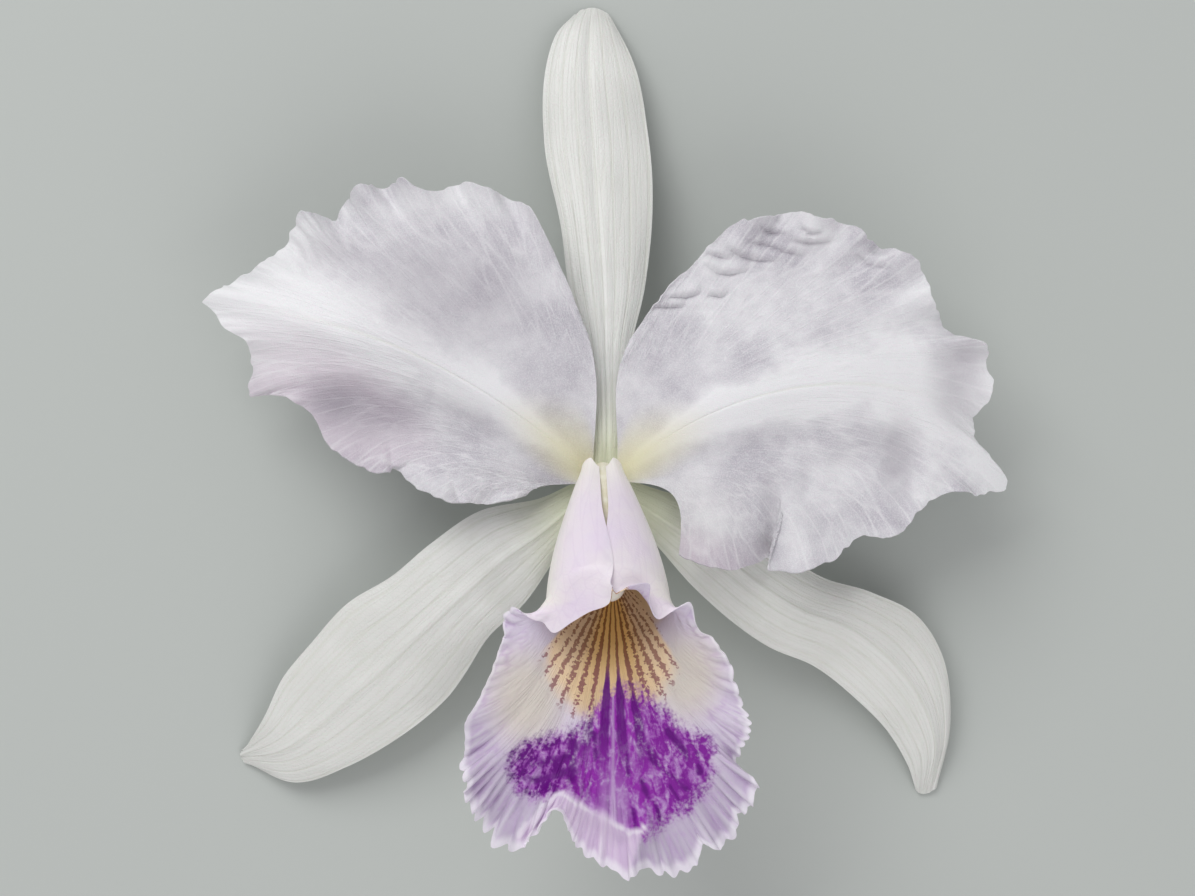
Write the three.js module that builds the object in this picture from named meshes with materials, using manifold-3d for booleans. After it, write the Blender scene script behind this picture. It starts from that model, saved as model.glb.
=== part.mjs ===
// A Cattleya labiata bloom as picked, lying on its back with its face up. Millimetres, +Z up.
// X runs from the left petal to the right one, and Y from the lip to the tip of the upper sepal.
// The bloom is drawn round its own middle, the top of the ovary, where all its leaves are seated.
// The whole is then lifted, so that the tips of the three sepals touch the surface at z = 0.

import * as THREE from "three";
import { mergeVertices } from "three/addons/utils/BufferGeometryUtils.js";
import Module from "manifold-3d";

const wasm = await Module();
wasm.setup();

// Driving dimensions
const BLOOM_AT = [-0.4, -9.4, 25.4]; // the middle of the bloom, over the middle of its outline
const CLEARANCE = 0.4; // from the seat to the middle of a claw's cut edge
const SEAT_RADIUS = 4.1; // the top of the ovary, which the leaves stand on
const SEAT_TOP = -1;
const PETAL_SEAT = -1.6; // height of the petals' claws, just under the top
const SEPAL_THICK = 0.9;
const PETAL_THICK = 0.8;
const LIP_THICK = 0.7;

const point = (p) => new THREE.Vector3(...p);
const curve = (points) => new THREE.CatmullRomCurve3(points.map(point));
const radians = THREE.MathUtils.degToRad;
const ease = (low, high, x) => THREE.MathUtils.smoothstep(x, low, high);

// The value at a share of the way along an evenly spaced list, on a smooth curve through its entries.
function along(list, share) {
  const last = list.length - 1;
  const i = Math.min(Math.floor(share * last), last - 1);
  const t = share * last - i;
  const [a, b] = [list[Math.max(i - 1, 0)], list[i]];
  const [c, d] = [list[i + 1], list[Math.min(i + 2, last)]];
  return b + 0.5 * t * (c - a + t * (2 * a - 5 * b + 4 * c - d + t * (3 * (b - c) + d - a)));
}

// A surface(r, s) moved by height(r, s) along its own normal.
function raised(surface, height) {
  const STEP = 1e-3;
  return (r, s) => {
    const alongR = surface(Math.min(r + STEP, 1), s).sub(surface(Math.max(r - STEP, 0), s));
    const alongS = surface(r, Math.min(s + STEP, 1)).sub(surface(r, Math.max(s - STEP, 0)));
    const normal = alongR.cross(alongS).normalize();
    return surface(r, s).addScaledVector(normal, height(r, s));
  };
}

// A thin leaf of even thickness on a surface(r, s), as one closed body. Both faces are split into
// triangles alike, so that they stay the same distance apart.
function leaf(surface, rows, columns, thickness) {
  const grid = rows.map((r) =>
    Array.from({ length: columns + 1 }, (_, j) => surface(r, j / columns)),
  );
  const last = rows.length - 1;
  const front = [];
  const back = [];
  for (let i = 0; i <= last; i++)
    for (let j = 0; j <= columns; j++) {
      const alongR = grid[Math.min(i + 1, last)][j].clone().sub(grid[Math.max(i - 1, 0)][j]);
      const alongS = grid[i][Math.min(j + 1, columns)].clone().sub(grid[i][Math.max(j - 1, 0)]);
      const normal = alongR.cross(alongS).normalize();
      front.push(grid[i][j].clone().addScaledVector(normal, thickness / 2));
      back.push(grid[i][j].clone().addScaledVector(normal, -thickness / 2));
    }
  const index = [];
  const behind = front.length;
  const at = (i, j) => i * (columns + 1) + j;
  for (let i = 0; i < last; i++)
    for (let j = 0; j < columns; j++) {
      const [a, b, c, d] = [at(i, j), at(i + 1, j), at(i + 1, j + 1), at(i, j + 1)];
      index.push(a, b, c, a, c, d);
      index.push(behind + a, behind + c, behind + b, behind + a, behind + d, behind + c);
    }
  const edge = [];
  for (let j = 0; j < columns; j++) edge.push(at(0, j));
  for (let i = 0; i < last; i++) edge.push(at(i, columns));
  for (let j = columns; j > 0; j--) edge.push(at(last, j));
  for (let i = last; i > 0; i--) edge.push(at(i, 0));
  edge.forEach((a, k) => {
    const b = edge[(k + 1) % edge.length];
    index.push(a, b, behind + b, a, behind + b, behind + a);
  });
  return new THREE.BufferGeometry().setFromPoints([...front, ...back]).setIndex(index);
}

// A solid swept along a path. outline(t, angle) gives its skin to the side and above the path.
function stalk(path, outline, steps, sides) {
  const side = new THREE.Vector3(1, 0, 0);
  const points = [];
  for (let i = 0; i <= steps; i++) {
    const centre = path.getPointAt(i / steps);
    const above = path.getTangentAt(i / steps).cross(side).normalize();
    for (let j = 0; j < sides; j++) {
      const [x, y] = outline(i / steps, (2 * Math.PI * j) / sides);
      points.push(centre.clone().addScaledVector(side, x).addScaledVector(above, y));
    }
  }
  const index = [];
  const first = points.length;
  points.push(path.getPointAt(0), path.getPointAt(1));
  for (let j = 0; j < sides; j++) {
    const k = (j + 1) % sides;
    for (let i = 0; i < steps; i++) {
      const [a, b] = [i * sides, (i + 1) * sides];
      index.push(a + j, a + k, b + k, a + j, b + k, b + j);
    }
    index.push(first, k, j, first + 1, steps * sides + j, steps * sides + k);
  }
  return new THREE.BufferGeometry().setFromPoints(points).setIndex(index);
}

function solid(geometry) {
  const bare = new THREE.BufferGeometry();
  bare.setAttribute("position", geometry.getAttribute("position"));
  bare.setIndex(geometry.index);
  const merged = mergeVertices(bare, 1e-3);
  return new wasm.Manifold(
    new wasm.Mesh({
      numProp: 3,
      vertProperties: merged.attributes.position.array,
      triVerts: new Uint32Array(merged.index.array),
    }),
  );
}

function geometryOf(body) {
  const { vertProperties, triVerts } = body.getMesh();
  return new THREE.BufferGeometry()
    .setAttribute("position", new THREE.BufferAttribute(vertProperties, 3))
    .setIndex(new THREE.BufferAttribute(triVerts, 1));
}

// Sepals: three plain leaves behind the petals, each drawn by its two edges and its keel.
// The edges lie further back than the keel, and the tips bend back down to the surface.
const UPPER_SEPAL = {
  left: [[-2.6, 3.7, -3.6], [-2.6, 12, -5], [-3.4, 24, -7.6], [-6.4, 35, -10.6], [-8.1, 48, -14],
    [-11.7, 64, -17.4], [-11.9, 77, -19.8], [-9.4, 86.5, -22.4], [-5.8, 90.4, -24.5]],
  keel: [[0.1, 4.5, -3.4], [0.4, 12, -4.2], [-0.1, 24, -6.2], [-0.6, 35, -8.8], [-1.5, 48, -12],
    [-2.6, 64, -15.6], [-3.3, 77, -18.4], [-3.1, 87.5, -21.6], [-2.6, 91.6, -25.08]],
  right: [[2.7, 3.6, -3.6], [3, 12, -5], [4.9, 24, -7.6], [7.5, 35, -10.6], [9, 48, -14],
    [8.7, 64, -17.4], [6.6, 77, -19.8], [3, 86.5, -22.4], [0.8, 90.4, -24.5]],
};
const LEFT_SEPAL = {
  left: [[-4.4, -0.9, -3.6], [-12.5, -4.5, -7], [-24, -7.2, -9.4], [-33, -13.2, -11.6],
    [-41, -19.7, -13.6], [-49.5, -25, -15.4], [-57, -32.7, -17.2], [-63, -40.2, -19.2],
    [-66.2, -47.5, -21.2], [-71.2, -54.6, -24.6]],
  keel: [[-3.2, -3.2, -3.4], [-10.8, -10, -5.4], [-19.5, -16.2, -7.6], [-28, -23.6, -9.8],
    [-35.5, -30.6, -11.8], [-43, -37.4, -13.8], [-50.3, -43.8, -15.8], [-57, -49.8, -18],
    [-63.5, -54, -20.6], [-71.6, -55.8, -25]],
  right: [[-0.9, -4.4, -3.6], [-9.4, -16, -7], [-15.6, -24.6, -9.4], [-22.4, -31, -11.6],
    [-26.6, -38, -13.6], [-31, -44, -15.4], [-39.6, -50.7, -17.2], [-50, -56.8, -19.2],
    [-60.4, -60.4, -21.8], [-70.6, -57.2, -24.6]],
};
const RIGHT_SEPAL = {
  left: [[0.9, -4.4, -3.6], [9.8, -13.5, -7], [17.2, -21.6, -9.4], [24.3, -28, -11.6],
    [31.8, -33.2, -13.6], [40.2, -36.8, -15.4], [48.2, -42.9, -17.2], [55, -50, -19.4],
    [59.4, -57, -22], [61.4, -62.4, -24.6]],
  keel: [[3.2, -3.2, -3.4], [12.6, -9.5, -5.4], [22, -15.4, -7.6], [30, -21.6, -9.8],
    [37.6, -26.2, -11.8], [46.6, -29.8, -13.8], [54.8, -36, -15.8], [61, -44, -18],
    [64.2, -53, -20.6], [63.2, -63, -25]],
  right: [[4.4, -0.9, -3.6], [15.2, -4.8, -7], [26.6, -9.6, -9.4], [35.4, -16, -11.6],
    [42.4, -20, -13.6], [51.3, -23, -15.4], [60.2, -27.4, -17.2], [65.8, -36, -19.2],
    [67.2, -49, -21.4], [65.4, -61.8, -24.6]],
};
const SEPAL_ROWS = 18;
const SEPAL_COLUMNS = 6;

function sepal({ left, keel, right }) {
  const [leftEdge, middle, rightEdge] = [left, keel, right].map(curve);
  const surface = (r, s) => {
    const w = 2 * s - 1;
    const [a, b, c] = [leftEdge.getPoint(r), middle.getPoint(r), rightEdge.getPoint(r)];
    const bow = a.clone().add(c).multiplyScalar(0.5).sub(b);
    return b.addScaledVector(c.sub(a), w / 2).addScaledVector(bow, w * w);
  };
  const rows = Array.from({ length: SEPAL_ROWS + 1 }, (_, i) => i / SEPAL_ROWS);
  return leaf(surface, rows, SEPAL_COLUMNS, SEPAL_THICK);
}

// Petals: broad leaves whose veins leave a narrow claw and bend out to a waved rim. "form" is the
// smooth line that the veins run to, from the claw over the top and the tip to the lower side.
// "over" and "under" are the rim itself, above and below the tip, and its lobes grow towards it
// from the smooth form. The third number of a rim's point is how high its wave stands.
const LEFT_PETAL = {
  claw: [128, 164, 200], // where the veins leave the seat
  leave: [-8, -6, -8, -12, -17, -14, -8, -3, 3], // their turn at the seat from the straight line
  arrive: [18, 2, -8, 0, 16, 30, 40, 42, 34], // and their turn at the rim
  hold: [0.4, 0.38, 0.36, 0.36, 0.36], // how far those directions hold, as a share of the vein
  rise: [0.1, 0.3, 0.1], // the veins' slopes at the seat and at the rim
  fall: [0, 0.15, 0.34, 0.15, 0],
  form: [[-4.4, 29, 1], [-18, 50.5, 0], [-40, 54.2, -3], [-59, 47, -5], [-71.5, 33, -6],
    [-66, 17.5, -6.5], [-50.5, 5.5, -4], [-33.5, -2.8, -1.5], [-15, -3.9, -0.6]],
  over: [[-4.4, 29, 0], [-8.4, 38.5, 1], [-13.9, 49.2, 2.5], [-18.1, 51.5, -0.5], [-23.6, 54.3, 2.5],
    [-28.1, 54.3, -1], [-33.7, 53.3, 2], [-37.7, 55.2, 4], [-41.5, 53.6, 0], [-46.2, 54.3, 3],
    [-49, 51.6, -2], [-51.6, 48.6, -2.5], [-57, 49.6, 4], [-59.6, 46, 0], [-61.6, 42, -1.5],
    [-65.7, 39.5, 2.5], [-71.6, 35.4, -1], [-75.4, 32.5, -0.5]],
  under: [[-75.4, 32.5, -0.5], [-73.6, 28.8, 0], [-68, 25, 1], [-66.8, 21, -1], [-67.4, 15.6, -3],
    [-61.5, 15.2, 0], [-55.7, 11.7, 1], [-50.7, 5, 2.5], [-46.5, 1.6, 3.5], [-42, 0.4, 4],
    [-39.4, 1, 0], [-36.4, -1, 2.5], [-32.8, -3.4, 4], [-27.7, -4.9, 2.5], [-22.6, -5.6, 0],
    [-18.4, -5, 2], [-15, -3.9, 0]],
};
const RIGHT_PETAL = {
  claw: [54, 16, -22],
  leave: [12, 10, 14, 24, 34, 34, 34, 40, 51],
  arrive: [-22, -6, 4, -10, -34, -44, -46, -48, -45],
  hold: [0.4, 0.38, 0.36, 0.4, 0.62],
  rise: [0.1, 0.3, 0.12],
  fall: [0, 0.15, 0.34, 0.18, 0.1],
  form: [[4.8, 25.4, 1], [22.8, 45, 0.5], [47, 45.6, -1.5], [64.5, 31, -3], [72.5, 11, -4.5],
    [69.5, -3.8, -5], [51.5, -12, -3.5], [32.4, -17, -1], [13.8, -14.6, 0]],
  over: [[4.8, 25.4, 0], [11.1, 34.6, 0.8], [17.6, 40.4, 0], [23.6, 46.6, 1.5], [28.4, 47.8, 3.5],
    [33.4, 48.9, 0], [39.2, 48.6, 4], [44.4, 46.9, 2], [48, 45.4, 3.5], [51, 42.6, -0.5],
    [57, 41, 4], [59.8, 37.8, 1], [61.4, 34, 3], [63.4, 29.4, -0.5], [66.6, 26.2, 3],
    [70.8, 24.4, 5], [72, 20.6, 2], [73, 16, 2.5], [69.6, 10.8, -1]],
  under: [[69.6, 10.8, -1], [70, 7, 0], [73, 3.2, 0], [76.6, -1.8, -2.5], [71.4, -3.8, -1],
    [66.2, -3, 3], [60.4, -5.2, 1], [57, -9, 3], [53.8, -11.7, 4], [49, -11.2, 0],
    [45.4, -13.4, 2], [41.4, -16.6, 4], [36, -17.8, 5], [31.8, -17.4, 4.5], [31.4, -15.4, 1.5],
    [31.4, -15.8, -2.2], [27.4, -17, -1], [22.6, -17.5, 1.5], [18, -16.8, 3], [13.8, -14.6, 2.5]],
};
const PETAL_ROWS = [0, 0.1, 0.22, 0.35, 0.48, 0.6, 0.7, 0.79, 0.87, 0.94, 1];
const PETAL_COLUMNS = 60;
const PETAL_WAVES = 15; // finer waves round the rim
const PETAL_WAVE_HIGH = 0.7;
const LOBE_POWER = 5; // how late along a vein the lobes and waves grow

const heading = (angle, slope) =>
  new THREE.Vector3(Math.cos(radians(angle)), Math.sin(radians(angle)), slope);

function petal({ claw, leave, arrive, hold, rise, fall, form, over, under }) {
  const [smoothRim, overRim, underRim] = [form, over, under].map(curve);
  const vein = (r, s) => {
    const from = heading(along(claw, s), 0).multiplyScalar(SEAT_RADIUS + CLEARANCE).setZ(PETAL_SEAT);
    const to = smoothRim.getPoint(s);
    const straight = to.clone().sub(from);
    const held = straight.length() * along(hold, s);
    const angle = THREE.MathUtils.radToDeg(Math.atan2(straight.y, straight.x));
    const start = heading(angle + along(leave, s), along(rise, s)).multiplyScalar(held).add(from);
    const end = heading(angle + along(arrive, s), -along(fall, s)).multiplyScalar(-held).add(to);
    const lobe = s < 0.5 ? overRim.getPointAt(2 * s) : underRim.getPointAt(2 * s - 1);
    lobe.sub(to.clone().setZ(0));
    const at = new THREE.CubicBezierCurve3(from, start, end, to).getPoint(r);
    return at.addScaledVector(lobe, r ** LOBE_POWER);
  };
  const ruffle = (r, s) => {
    const atEnds = ease(0, 0.15, s) * (1 - ease(0.85, 1, s));
    return PETAL_WAVE_HIGH * ease(0.65, 1, r) * atEnds * Math.sin(2 * Math.PI * PETAL_WAVES * s);
  };
  return leaf(raised(vein, ruffle), PETAL_ROWS, PETAL_COLUMNS, PETAL_THICK);
}

// Lip: its side lobes roll up over the column into a tube, whose seam stands a little open at its
// base. Its front lobe spreads from the tube's mouth as a crisped skirt. Its form and its two rims run
// from the seam down the left side to the lowest point, and up the right side, and work as a petal's.
const TUBE_FROM = [-0.5, -0.2, 2.5];
const TUBE_TO = [0.5, -22, 21];
const TUBE_RADII = [3.6, 5.5, 7.3, 8.9, 10.1, 10.8];
const MOUTH = 0.36; // the tube's share of each vein
const SEAM_GAP = 0.6; // how far each lobe stands back from the seam at the base
const SEAM_LAP = 0.9; // how far each lobe passes it at the mouth, the left one over the right one
const SEAM_LIFT = 0.6; // how far each lobe there leaves the tube's round, the left one outwards
const LOBE_BACK = 0.8; // how far the lobes' shoulders reach back at the base
const LOBE_CORNER = 2.2; // how far their corners are rounded off from there
const SKIRT_MIDDLE = [0.5, -40, 17]; // the veins bend away from this point on their way to the rim
const SKIRT_HOLD = 0.36;
const LIP = {
  form: [[0.6, -18.6, 33], [-8.6, -24.7, 27.5], [-17.6, -26.4, 24], [-22.5, -39.4, 22],
    [-25, -51, 19], [-21.8, -60, 16], [-14, -65, 15], [-5.5, -67.5, 13.5], [4, -71.5, 12.5],
    [13.5, -70.5, 13], [21, -66, 14], [25.6, -58, 16], [25.2, -48.5, 18.5], [22.6, -37, 21],
    [17.2, -27, 24], [8.8, -22.4, 28], [1.9, -20.2, 32]],
  left: [[0.6, -18.6, 0], [-0.6, -21.4, 0], [-2.7, -23.2, 0.5], [-6.4, -24, 0], [-10.4, -25.4, -0.5],
    [-14, -24.6, 0.5], [-17, -24.2, 0], [-18.2, -28.6, 0], [-20, -33, 0], [-22, -38.5, 0],
    [-24.6, -44.4, 1.5], [-24.6, -49, -1], [-26, -55, 1.5], [-25.2, -60, 0], [-21.6, -61.4, -2],
    [-18.6, -65.6, -2], [-14, -65.6, 0], [-11.6, -62.2, 2], [-8.8, -59.8, 3.5], [-7, -62.4, 2.5],
    [-5.4, -66.6, 0.5], [-1, -70, 0], [4, -73, 0]],
  right: [[4, -73, 0], [7.4, -71.4, 1.5], [12, -72.8, 0], [15.6, -71.4, 0], [17, -68.4, 1],
    [17.8, -66.4, 1.5], [19, -67.8, 0.5], [21.4, -68, -1], [24.6, -65.8, -2], [25.6, -60.4, 0],
    [26.8, -55.4, 2.5], [24, -52, -2], [26, -46.8, 1.5], [24, -41, -0.5], [22.6, -36, 1],
    [20, -29.8, 1], [16.4, -26.9, -0.5], [14.6, -22, 2], [11.6, -23.8, 0], [9.2, -25, 0],
    [7.6, -21.8, 1], [7.6, -18.6, 1.5], [4.6, -18.8, 0.5], [3, -19.6, 0], [1.9, -20.2, 0]],
};
const FOLD_AT = [0.37, 0.4, 0.5, 0.53]; // where the skirt's front edge folds up and over
const FOLD_HIGH = 4.5;
const FOLD_FROM = 0.7; // shares of the skirt's veins between which the fold rises
const FOLD_TO = 0.84;
const LIP_ROWS = [0, 0.12, 0.24, MOUTH, 0.46, 0.56, 0.66, 0.75, 0.82, 0.88, 0.94, 1];
const LIP_COLUMNS = 120;
const LIP_WAVES = 30;
const LIP_WAVE_HIGH = 1.1;
const LIP_LOBE_POWER = 3;

function lip({ form, left, right }) {
  const [from, to, middle] = [TUBE_FROM, TUBE_TO, SKIRT_MIDDLE].map(point);
  const run = to.clone().sub(from).normalize();
  const side = new THREE.Vector3(1, 0, 0);
  const above = run.clone().cross(side).normalize();
  const [smoothRim, leftRim, rightRim] = [form, left, right].map(curve);
  const tube = (t, w) => {
    const up = Math.abs(w);
    const closed = ease(0.3, 0.7, t);
    const lift = SEAM_LIFT * ease(0.05, 0.35, t) * ease(0.8, 1, up) * -Math.sign(w);
    const radius = along(TUBE_RADII, t) + lift;
    const past = (SEAM_LAP * closed - SEAM_GAP * (1 - closed)) / (Math.PI * radius);
    const turn = Math.PI * (0.45 * up + (0.55 + past) * up ** 4) * Math.sign(w);
    const corner = (LOBE_CORNER * ease(0.9, 1, up) - LOBE_BACK * ease(0.5, 0.9, up)) * (1 - t) ** 2;
    return from.clone().lerp(to, t).addScaledVector(run, corner)
      .addScaledVector(side, radius * Math.sin(turn))
      .addScaledVector(above, -radius * Math.cos(turn));
  };
  const vein = (r, s) => {
    const w = 2 * s - 1;
    if (r < MOUTH) return tube(r / MOUTH, w);
    const t = (r - MOUTH) / (1 - MOUTH);
    const to = smoothRim.getPoint(s);
    const lobe = w < 0 ? leftRim.getPointAt(w + 1) : rightRim.getPointAt(w);
    lobe.sub(to.clone().setZ(0));
    const mouth = tube(1, w);
    const held = mouth.distanceTo(to) * SKIRT_HOLD;
    const straight = to.clone().sub(mouth).normalize();
    const flare = to.clone().sub(middle).normalize().add(straight).normalize();
    const start = mouth.clone().addScaledVector(run, held);
    const end = to.clone().addScaledVector(flare, -held);
    const at = new THREE.CubicBezierCurve3(mouth, start, end, to).getPoint(t);
    const [a, b, c, d] = FOLD_AT;
    const folded = ease(a, b, s) * (1 - ease(c, d, s));
    const bent = ease(FOLD_FROM, FOLD_TO, t) * (1 - 0.5 * ease(FOLD_TO, 1, t));
    at.z += FOLD_HIGH * folded * bent;
    return at.addScaledVector(lobe, t ** LIP_LOBE_POWER);
  };
  const crisp = (r, s) =>
    LIP_WAVE_HIGH * ease(0.6, 1, r) * (1 - 0.7 * ease(0.8, 1, Math.abs(2 * s - 1))) *
    Math.sin(2 * Math.PI * LIP_WAVES * s);
  return leaf(raised(vein, crisp), LIP_ROWS, LIP_COLUMNS, LIP_THICK);
}

// Column: the thick stem in the tube, which widens to its tip. It has the stigma's hollow on its
// lower side, and its cut tip carries the anther's cap.
const COLUMN_PATH = [[-0.3, 0.2, -0.6], [-0.4, 0, 1.4], [-0.4, -2, 4.2], [-0.1, -9, 10.4], [0.4, -19.4, 19]];
const COLUMN_BASE = 2.2;
const COLUMN_WIDE = 3.6;
const COLUMN_BACK = 0.95; // depth of its back and of its lower side, as shares of its half width
const COLUMN_BELLY = 0.75;
const STIGMA_AT = 0.84; // share of the column's length
const STIGMA_RADIUS = 2.2;
const STIGMA_BELOW = 2.9;
const UP = new THREE.Vector3(0, 0, 1);

function column() {
  const path = curve(COLUMN_PATH);
  const outline = (t, angle) => {
    const wide = COLUMN_BASE + (COLUMN_WIDE - COLUMN_BASE) * ease(0.3, 1, t);
    const deep = wide * (Math.sin(angle) > 0 ? COLUMN_BACK : COLUMN_BELLY);
    return [wide * Math.cos(angle), deep * Math.sin(angle)];
  };
  const below = new THREE.Vector3(1, 0, 0).cross(path.getTangentAt(STIGMA_AT)).normalize();
  const hollow = new THREE.SphereGeometry(STIGMA_RADIUS, 12, 8).scale(1, 1.1, 0.8);
  hollow.applyQuaternion(new THREE.Quaternion().setFromUnitVectors(UP, below));
  hollow.translate(...path.getPointAt(STIGMA_AT).addScaledVector(below, STIGMA_BELOW));
  return geometryOf(solid(stalk(path, outline, 16, 16)).subtract(solid(hollow)));
}

// Anther: a hollow cap on the column's tip, with the four masses of pollen in it.
const CAP_RADIUS = 3.1;
const CAP_HIGH = 2.6;
const CAP_WALL = 0.7;
const CAP_STEPS = 5; // from its rim to its top
const POLLEN_APART = 0.76; // four masses in a row, on a strap
const POLLEN_SIZE = [0.44, 0.7, 0.6];
const POLLEN_STRAP = [2.6, 0.5, 0.35];

// Turns a shape built on +Z along the column's tip, and puts it a distance off the cut face.
function onTip(geometry, distance) {
  const path = curve(COLUMN_PATH);
  const tangent = path.getTangentAt(1);
  geometry.applyQuaternion(new THREE.Quaternion().setFromUnitVectors(UP, tangent));
  return geometry.translate(...path.getPointAt(1).addScaledVector(tangent, distance));
}

// Points of a dome's outline, from its rim to its top.
const dome = (radius, high) =>
  Array.from({ length: CAP_STEPS + 1 }, (_, i) => {
    const angle = (Math.PI / 2) * (i / CAP_STEPS);
    return new THREE.Vector2(i < CAP_STEPS ? radius * Math.cos(angle) : 0, high * Math.sin(angle));
  });

function antherCap() {
  const outer = dome(CAP_RADIUS, CAP_HIGH);
  const inner = dome(CAP_RADIUS - CAP_WALL, CAP_HIGH - CAP_WALL);
  const profile = [...outer, ...inner.reverse(), outer[0]];
  return onTip(new THREE.LatheGeometry(profile, 16).rotateX(Math.PI / 2), CLEARANCE);
}

function pollinia() {
  const masses = [-1.5, -0.5, 0.5, 1.5].map((place) => {
    const ball = new THREE.SphereGeometry(1, 8, 6).scale(...POLLEN_SIZE);
    return solid(ball.translate(place * POLLEN_APART, 0, POLLEN_SIZE[2] + 0.1));
  });
  const strap = new THREE.BoxGeometry(...POLLEN_STRAP).translate(0, 0, POLLEN_STRAP[2]);
  return onTip(geometryOf(masses.reduce((whole, mass) => whole.add(mass), solid(strap))), CLEARANCE);
}

// Ovary and stem: one green stalk behind the bloom, with six low ribs. Its flat top is the seat of
// all the leaves, and its lower end is cut.
const STEM_PATH = [[0, 0, SEAT_TOP], [0, 0, -3.5], [0, -0.3, -6.5], [0.3, -2.6, -11], [1.6, -9, -16.6],
  [4.6, -22, -21.2], [8.6, -38, -22.6], [13, -57, -22.6]];
const OVARY_RADIUS = 3.5;
const STEM_RADIUS = 2.2;
const SEAT_SHARE = 0.06; // of the stalk's length
const RIB = 0.06; // height of a rib, as a share of the radius

function ovaryAndStem() {
  const slimming = (t) => OVARY_RADIUS + (STEM_RADIUS - OVARY_RADIUS) * ease(0.15, 0.6, t);
  const girth = (t) => (t < SEAT_SHARE ? SEAT_RADIUS : slimming(t));
  const outline = (t, angle) => {
    const radius = girth(t) * (1 + RIB * ease(0.05, 0.15, t) * Math.cos(6 * angle));
    return [radius * Math.cos(angle), radius * Math.sin(angle)];
  };
  return stalk(curve(STEM_PATH), outline, 24, 18);
}

// Each piece's shape, colour and roughness
const PIECES = {
  dorsal_sepal: [sepal(UPPER_SEPAL), 0xeeeee6, 0.6],
  lateral_sepal_left: [sepal(LEFT_SEPAL), 0xeeeee6, 0.6],
  lateral_sepal_right: [sepal(RIGHT_SEPAL), 0xeeeee6, 0.6],
  petal_left: [petal(LEFT_PETAL), 0xf1ecf3, 0.65],
  petal_right: [petal(RIGHT_PETAL), 0xf1ecf3, 0.65],
  labellum: [lip(LIP), 0xd9bfe2, 0.6],
  column: [column(), 0xf3f0dc, 0.45],
  anther_cap: [antherCap(), 0xf6f2e4, 0.45],
  pollinia: [pollinia(), 0xe8c64a, 0.4],
  ovary_pedicel: [ovaryAndStem(), 0x8fae5c, 0.5],
};

const bloom = new THREE.Group();
bloom.position.set(...BLOOM_AT);
for (const [name, [geometry, color, roughness]] of Object.entries(PIECES)) {
  const mesh = new THREE.Mesh(geometry, new THREE.MeshStandardMaterial({ color, roughness }));
  mesh.name = name;
  bloom.add(mesh);
}

export default bloom;
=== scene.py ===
# A Cattleya labiata bloom, as picked and laid face up: white petals and sepals, a lilac lip with a
# violet blotch and a tan throat, and the green ovary and stem behind it.

import math

import bpy
import numpy as np
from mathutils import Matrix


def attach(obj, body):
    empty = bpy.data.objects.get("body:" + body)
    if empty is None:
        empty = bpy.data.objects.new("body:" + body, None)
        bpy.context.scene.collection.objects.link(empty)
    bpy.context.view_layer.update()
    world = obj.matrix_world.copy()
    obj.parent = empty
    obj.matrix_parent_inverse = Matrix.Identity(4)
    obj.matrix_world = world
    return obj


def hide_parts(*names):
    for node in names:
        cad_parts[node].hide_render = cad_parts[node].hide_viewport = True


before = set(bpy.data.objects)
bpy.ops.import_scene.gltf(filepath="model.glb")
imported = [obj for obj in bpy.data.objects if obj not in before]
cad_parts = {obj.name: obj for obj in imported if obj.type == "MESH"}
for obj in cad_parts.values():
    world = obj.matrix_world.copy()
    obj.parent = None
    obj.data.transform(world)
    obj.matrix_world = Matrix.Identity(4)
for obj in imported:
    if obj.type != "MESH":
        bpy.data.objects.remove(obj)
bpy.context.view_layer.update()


# Sepals
# Three plain, narrow leaves behind the petals, of firm creamy white tissue with a few long veins.
# Each grows from the top of the ovary on a green base, and its tip bends back to the surface.

MM = 0.001  # lengths here are in millimetres, as the bloom was measured
BLOOM_AT = np.array([-0.4, -9.4, 25.4])  # the top of the ovary, in the part's own frame
LINE_STEPS = 201  # places at which a line is measured
TINY = 1e-3  # the step over which a slope is taken
NOISE_CELLS = 97  # lumps after which the random relief repeats
SMOOTH_LEAF = math.radians(60)  # edges that turn less than this are shaded smooth
CELLS = 2600.0  # scale of the leaves' skin cells
SOFT_REACH = (1.0, 0.8, 0.9)  # how far red, green and blue light wander inside the tissue
SOFT_DEEP = 0.8


def ease(low, high, x):
    """0 up to low, 1 from high on, and smooth between them."""
    share = np.clip((x - low) / (high - low), 0, 1)
    return share * share * (3 - 2 * share)


def smooth_line(points):
    """A line through points: at(t) is its place at t from 0 to 1, a whole step for each point."""
    points = np.array(points, float)
    ends = np.vstack([2 * points[0] - points[1], points, 2 * points[-1] - points[-2]])
    steps = len(points) - 1

    def at(t):
        i = np.clip(np.floor(t * steps).astype(int), 0, steps - 1)
        x = (t * steps - i)[..., None]
        before, here, there, after = (ends[i + k] for k in range(4))
        pairs = ((before, here), (here, there), (there, after))
        a, b, c = (np.sqrt(np.linalg.norm(q - p, axis=-1, keepdims=True)) for p, q in pairs)
        leave = b * ((here - before) / a - (there - before) / (a + b) + (there - here) / b)
        arrive = b * ((there - here) / b - (after - here) / (b + c) + (after - there) / c)
        bend = 3 * (there - here) - 2 * leave - arrive
        return here + x * (leave + x * (bend + x * (2 * (here - there) + leave + arrive)))

    return at


def even_line(points):
    """The same line, with t as the share of its length."""
    at = smooth_line(points)
    stops = np.linspace(0, 1, LINE_STEPS)
    steps = np.linalg.norm(np.diff(at(stops), axis=0), axis=1)
    reached = np.concatenate([[0], np.cumsum(steps)])
    return lambda share: at(np.interp(share * reached[-1], reached, stops))


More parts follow.
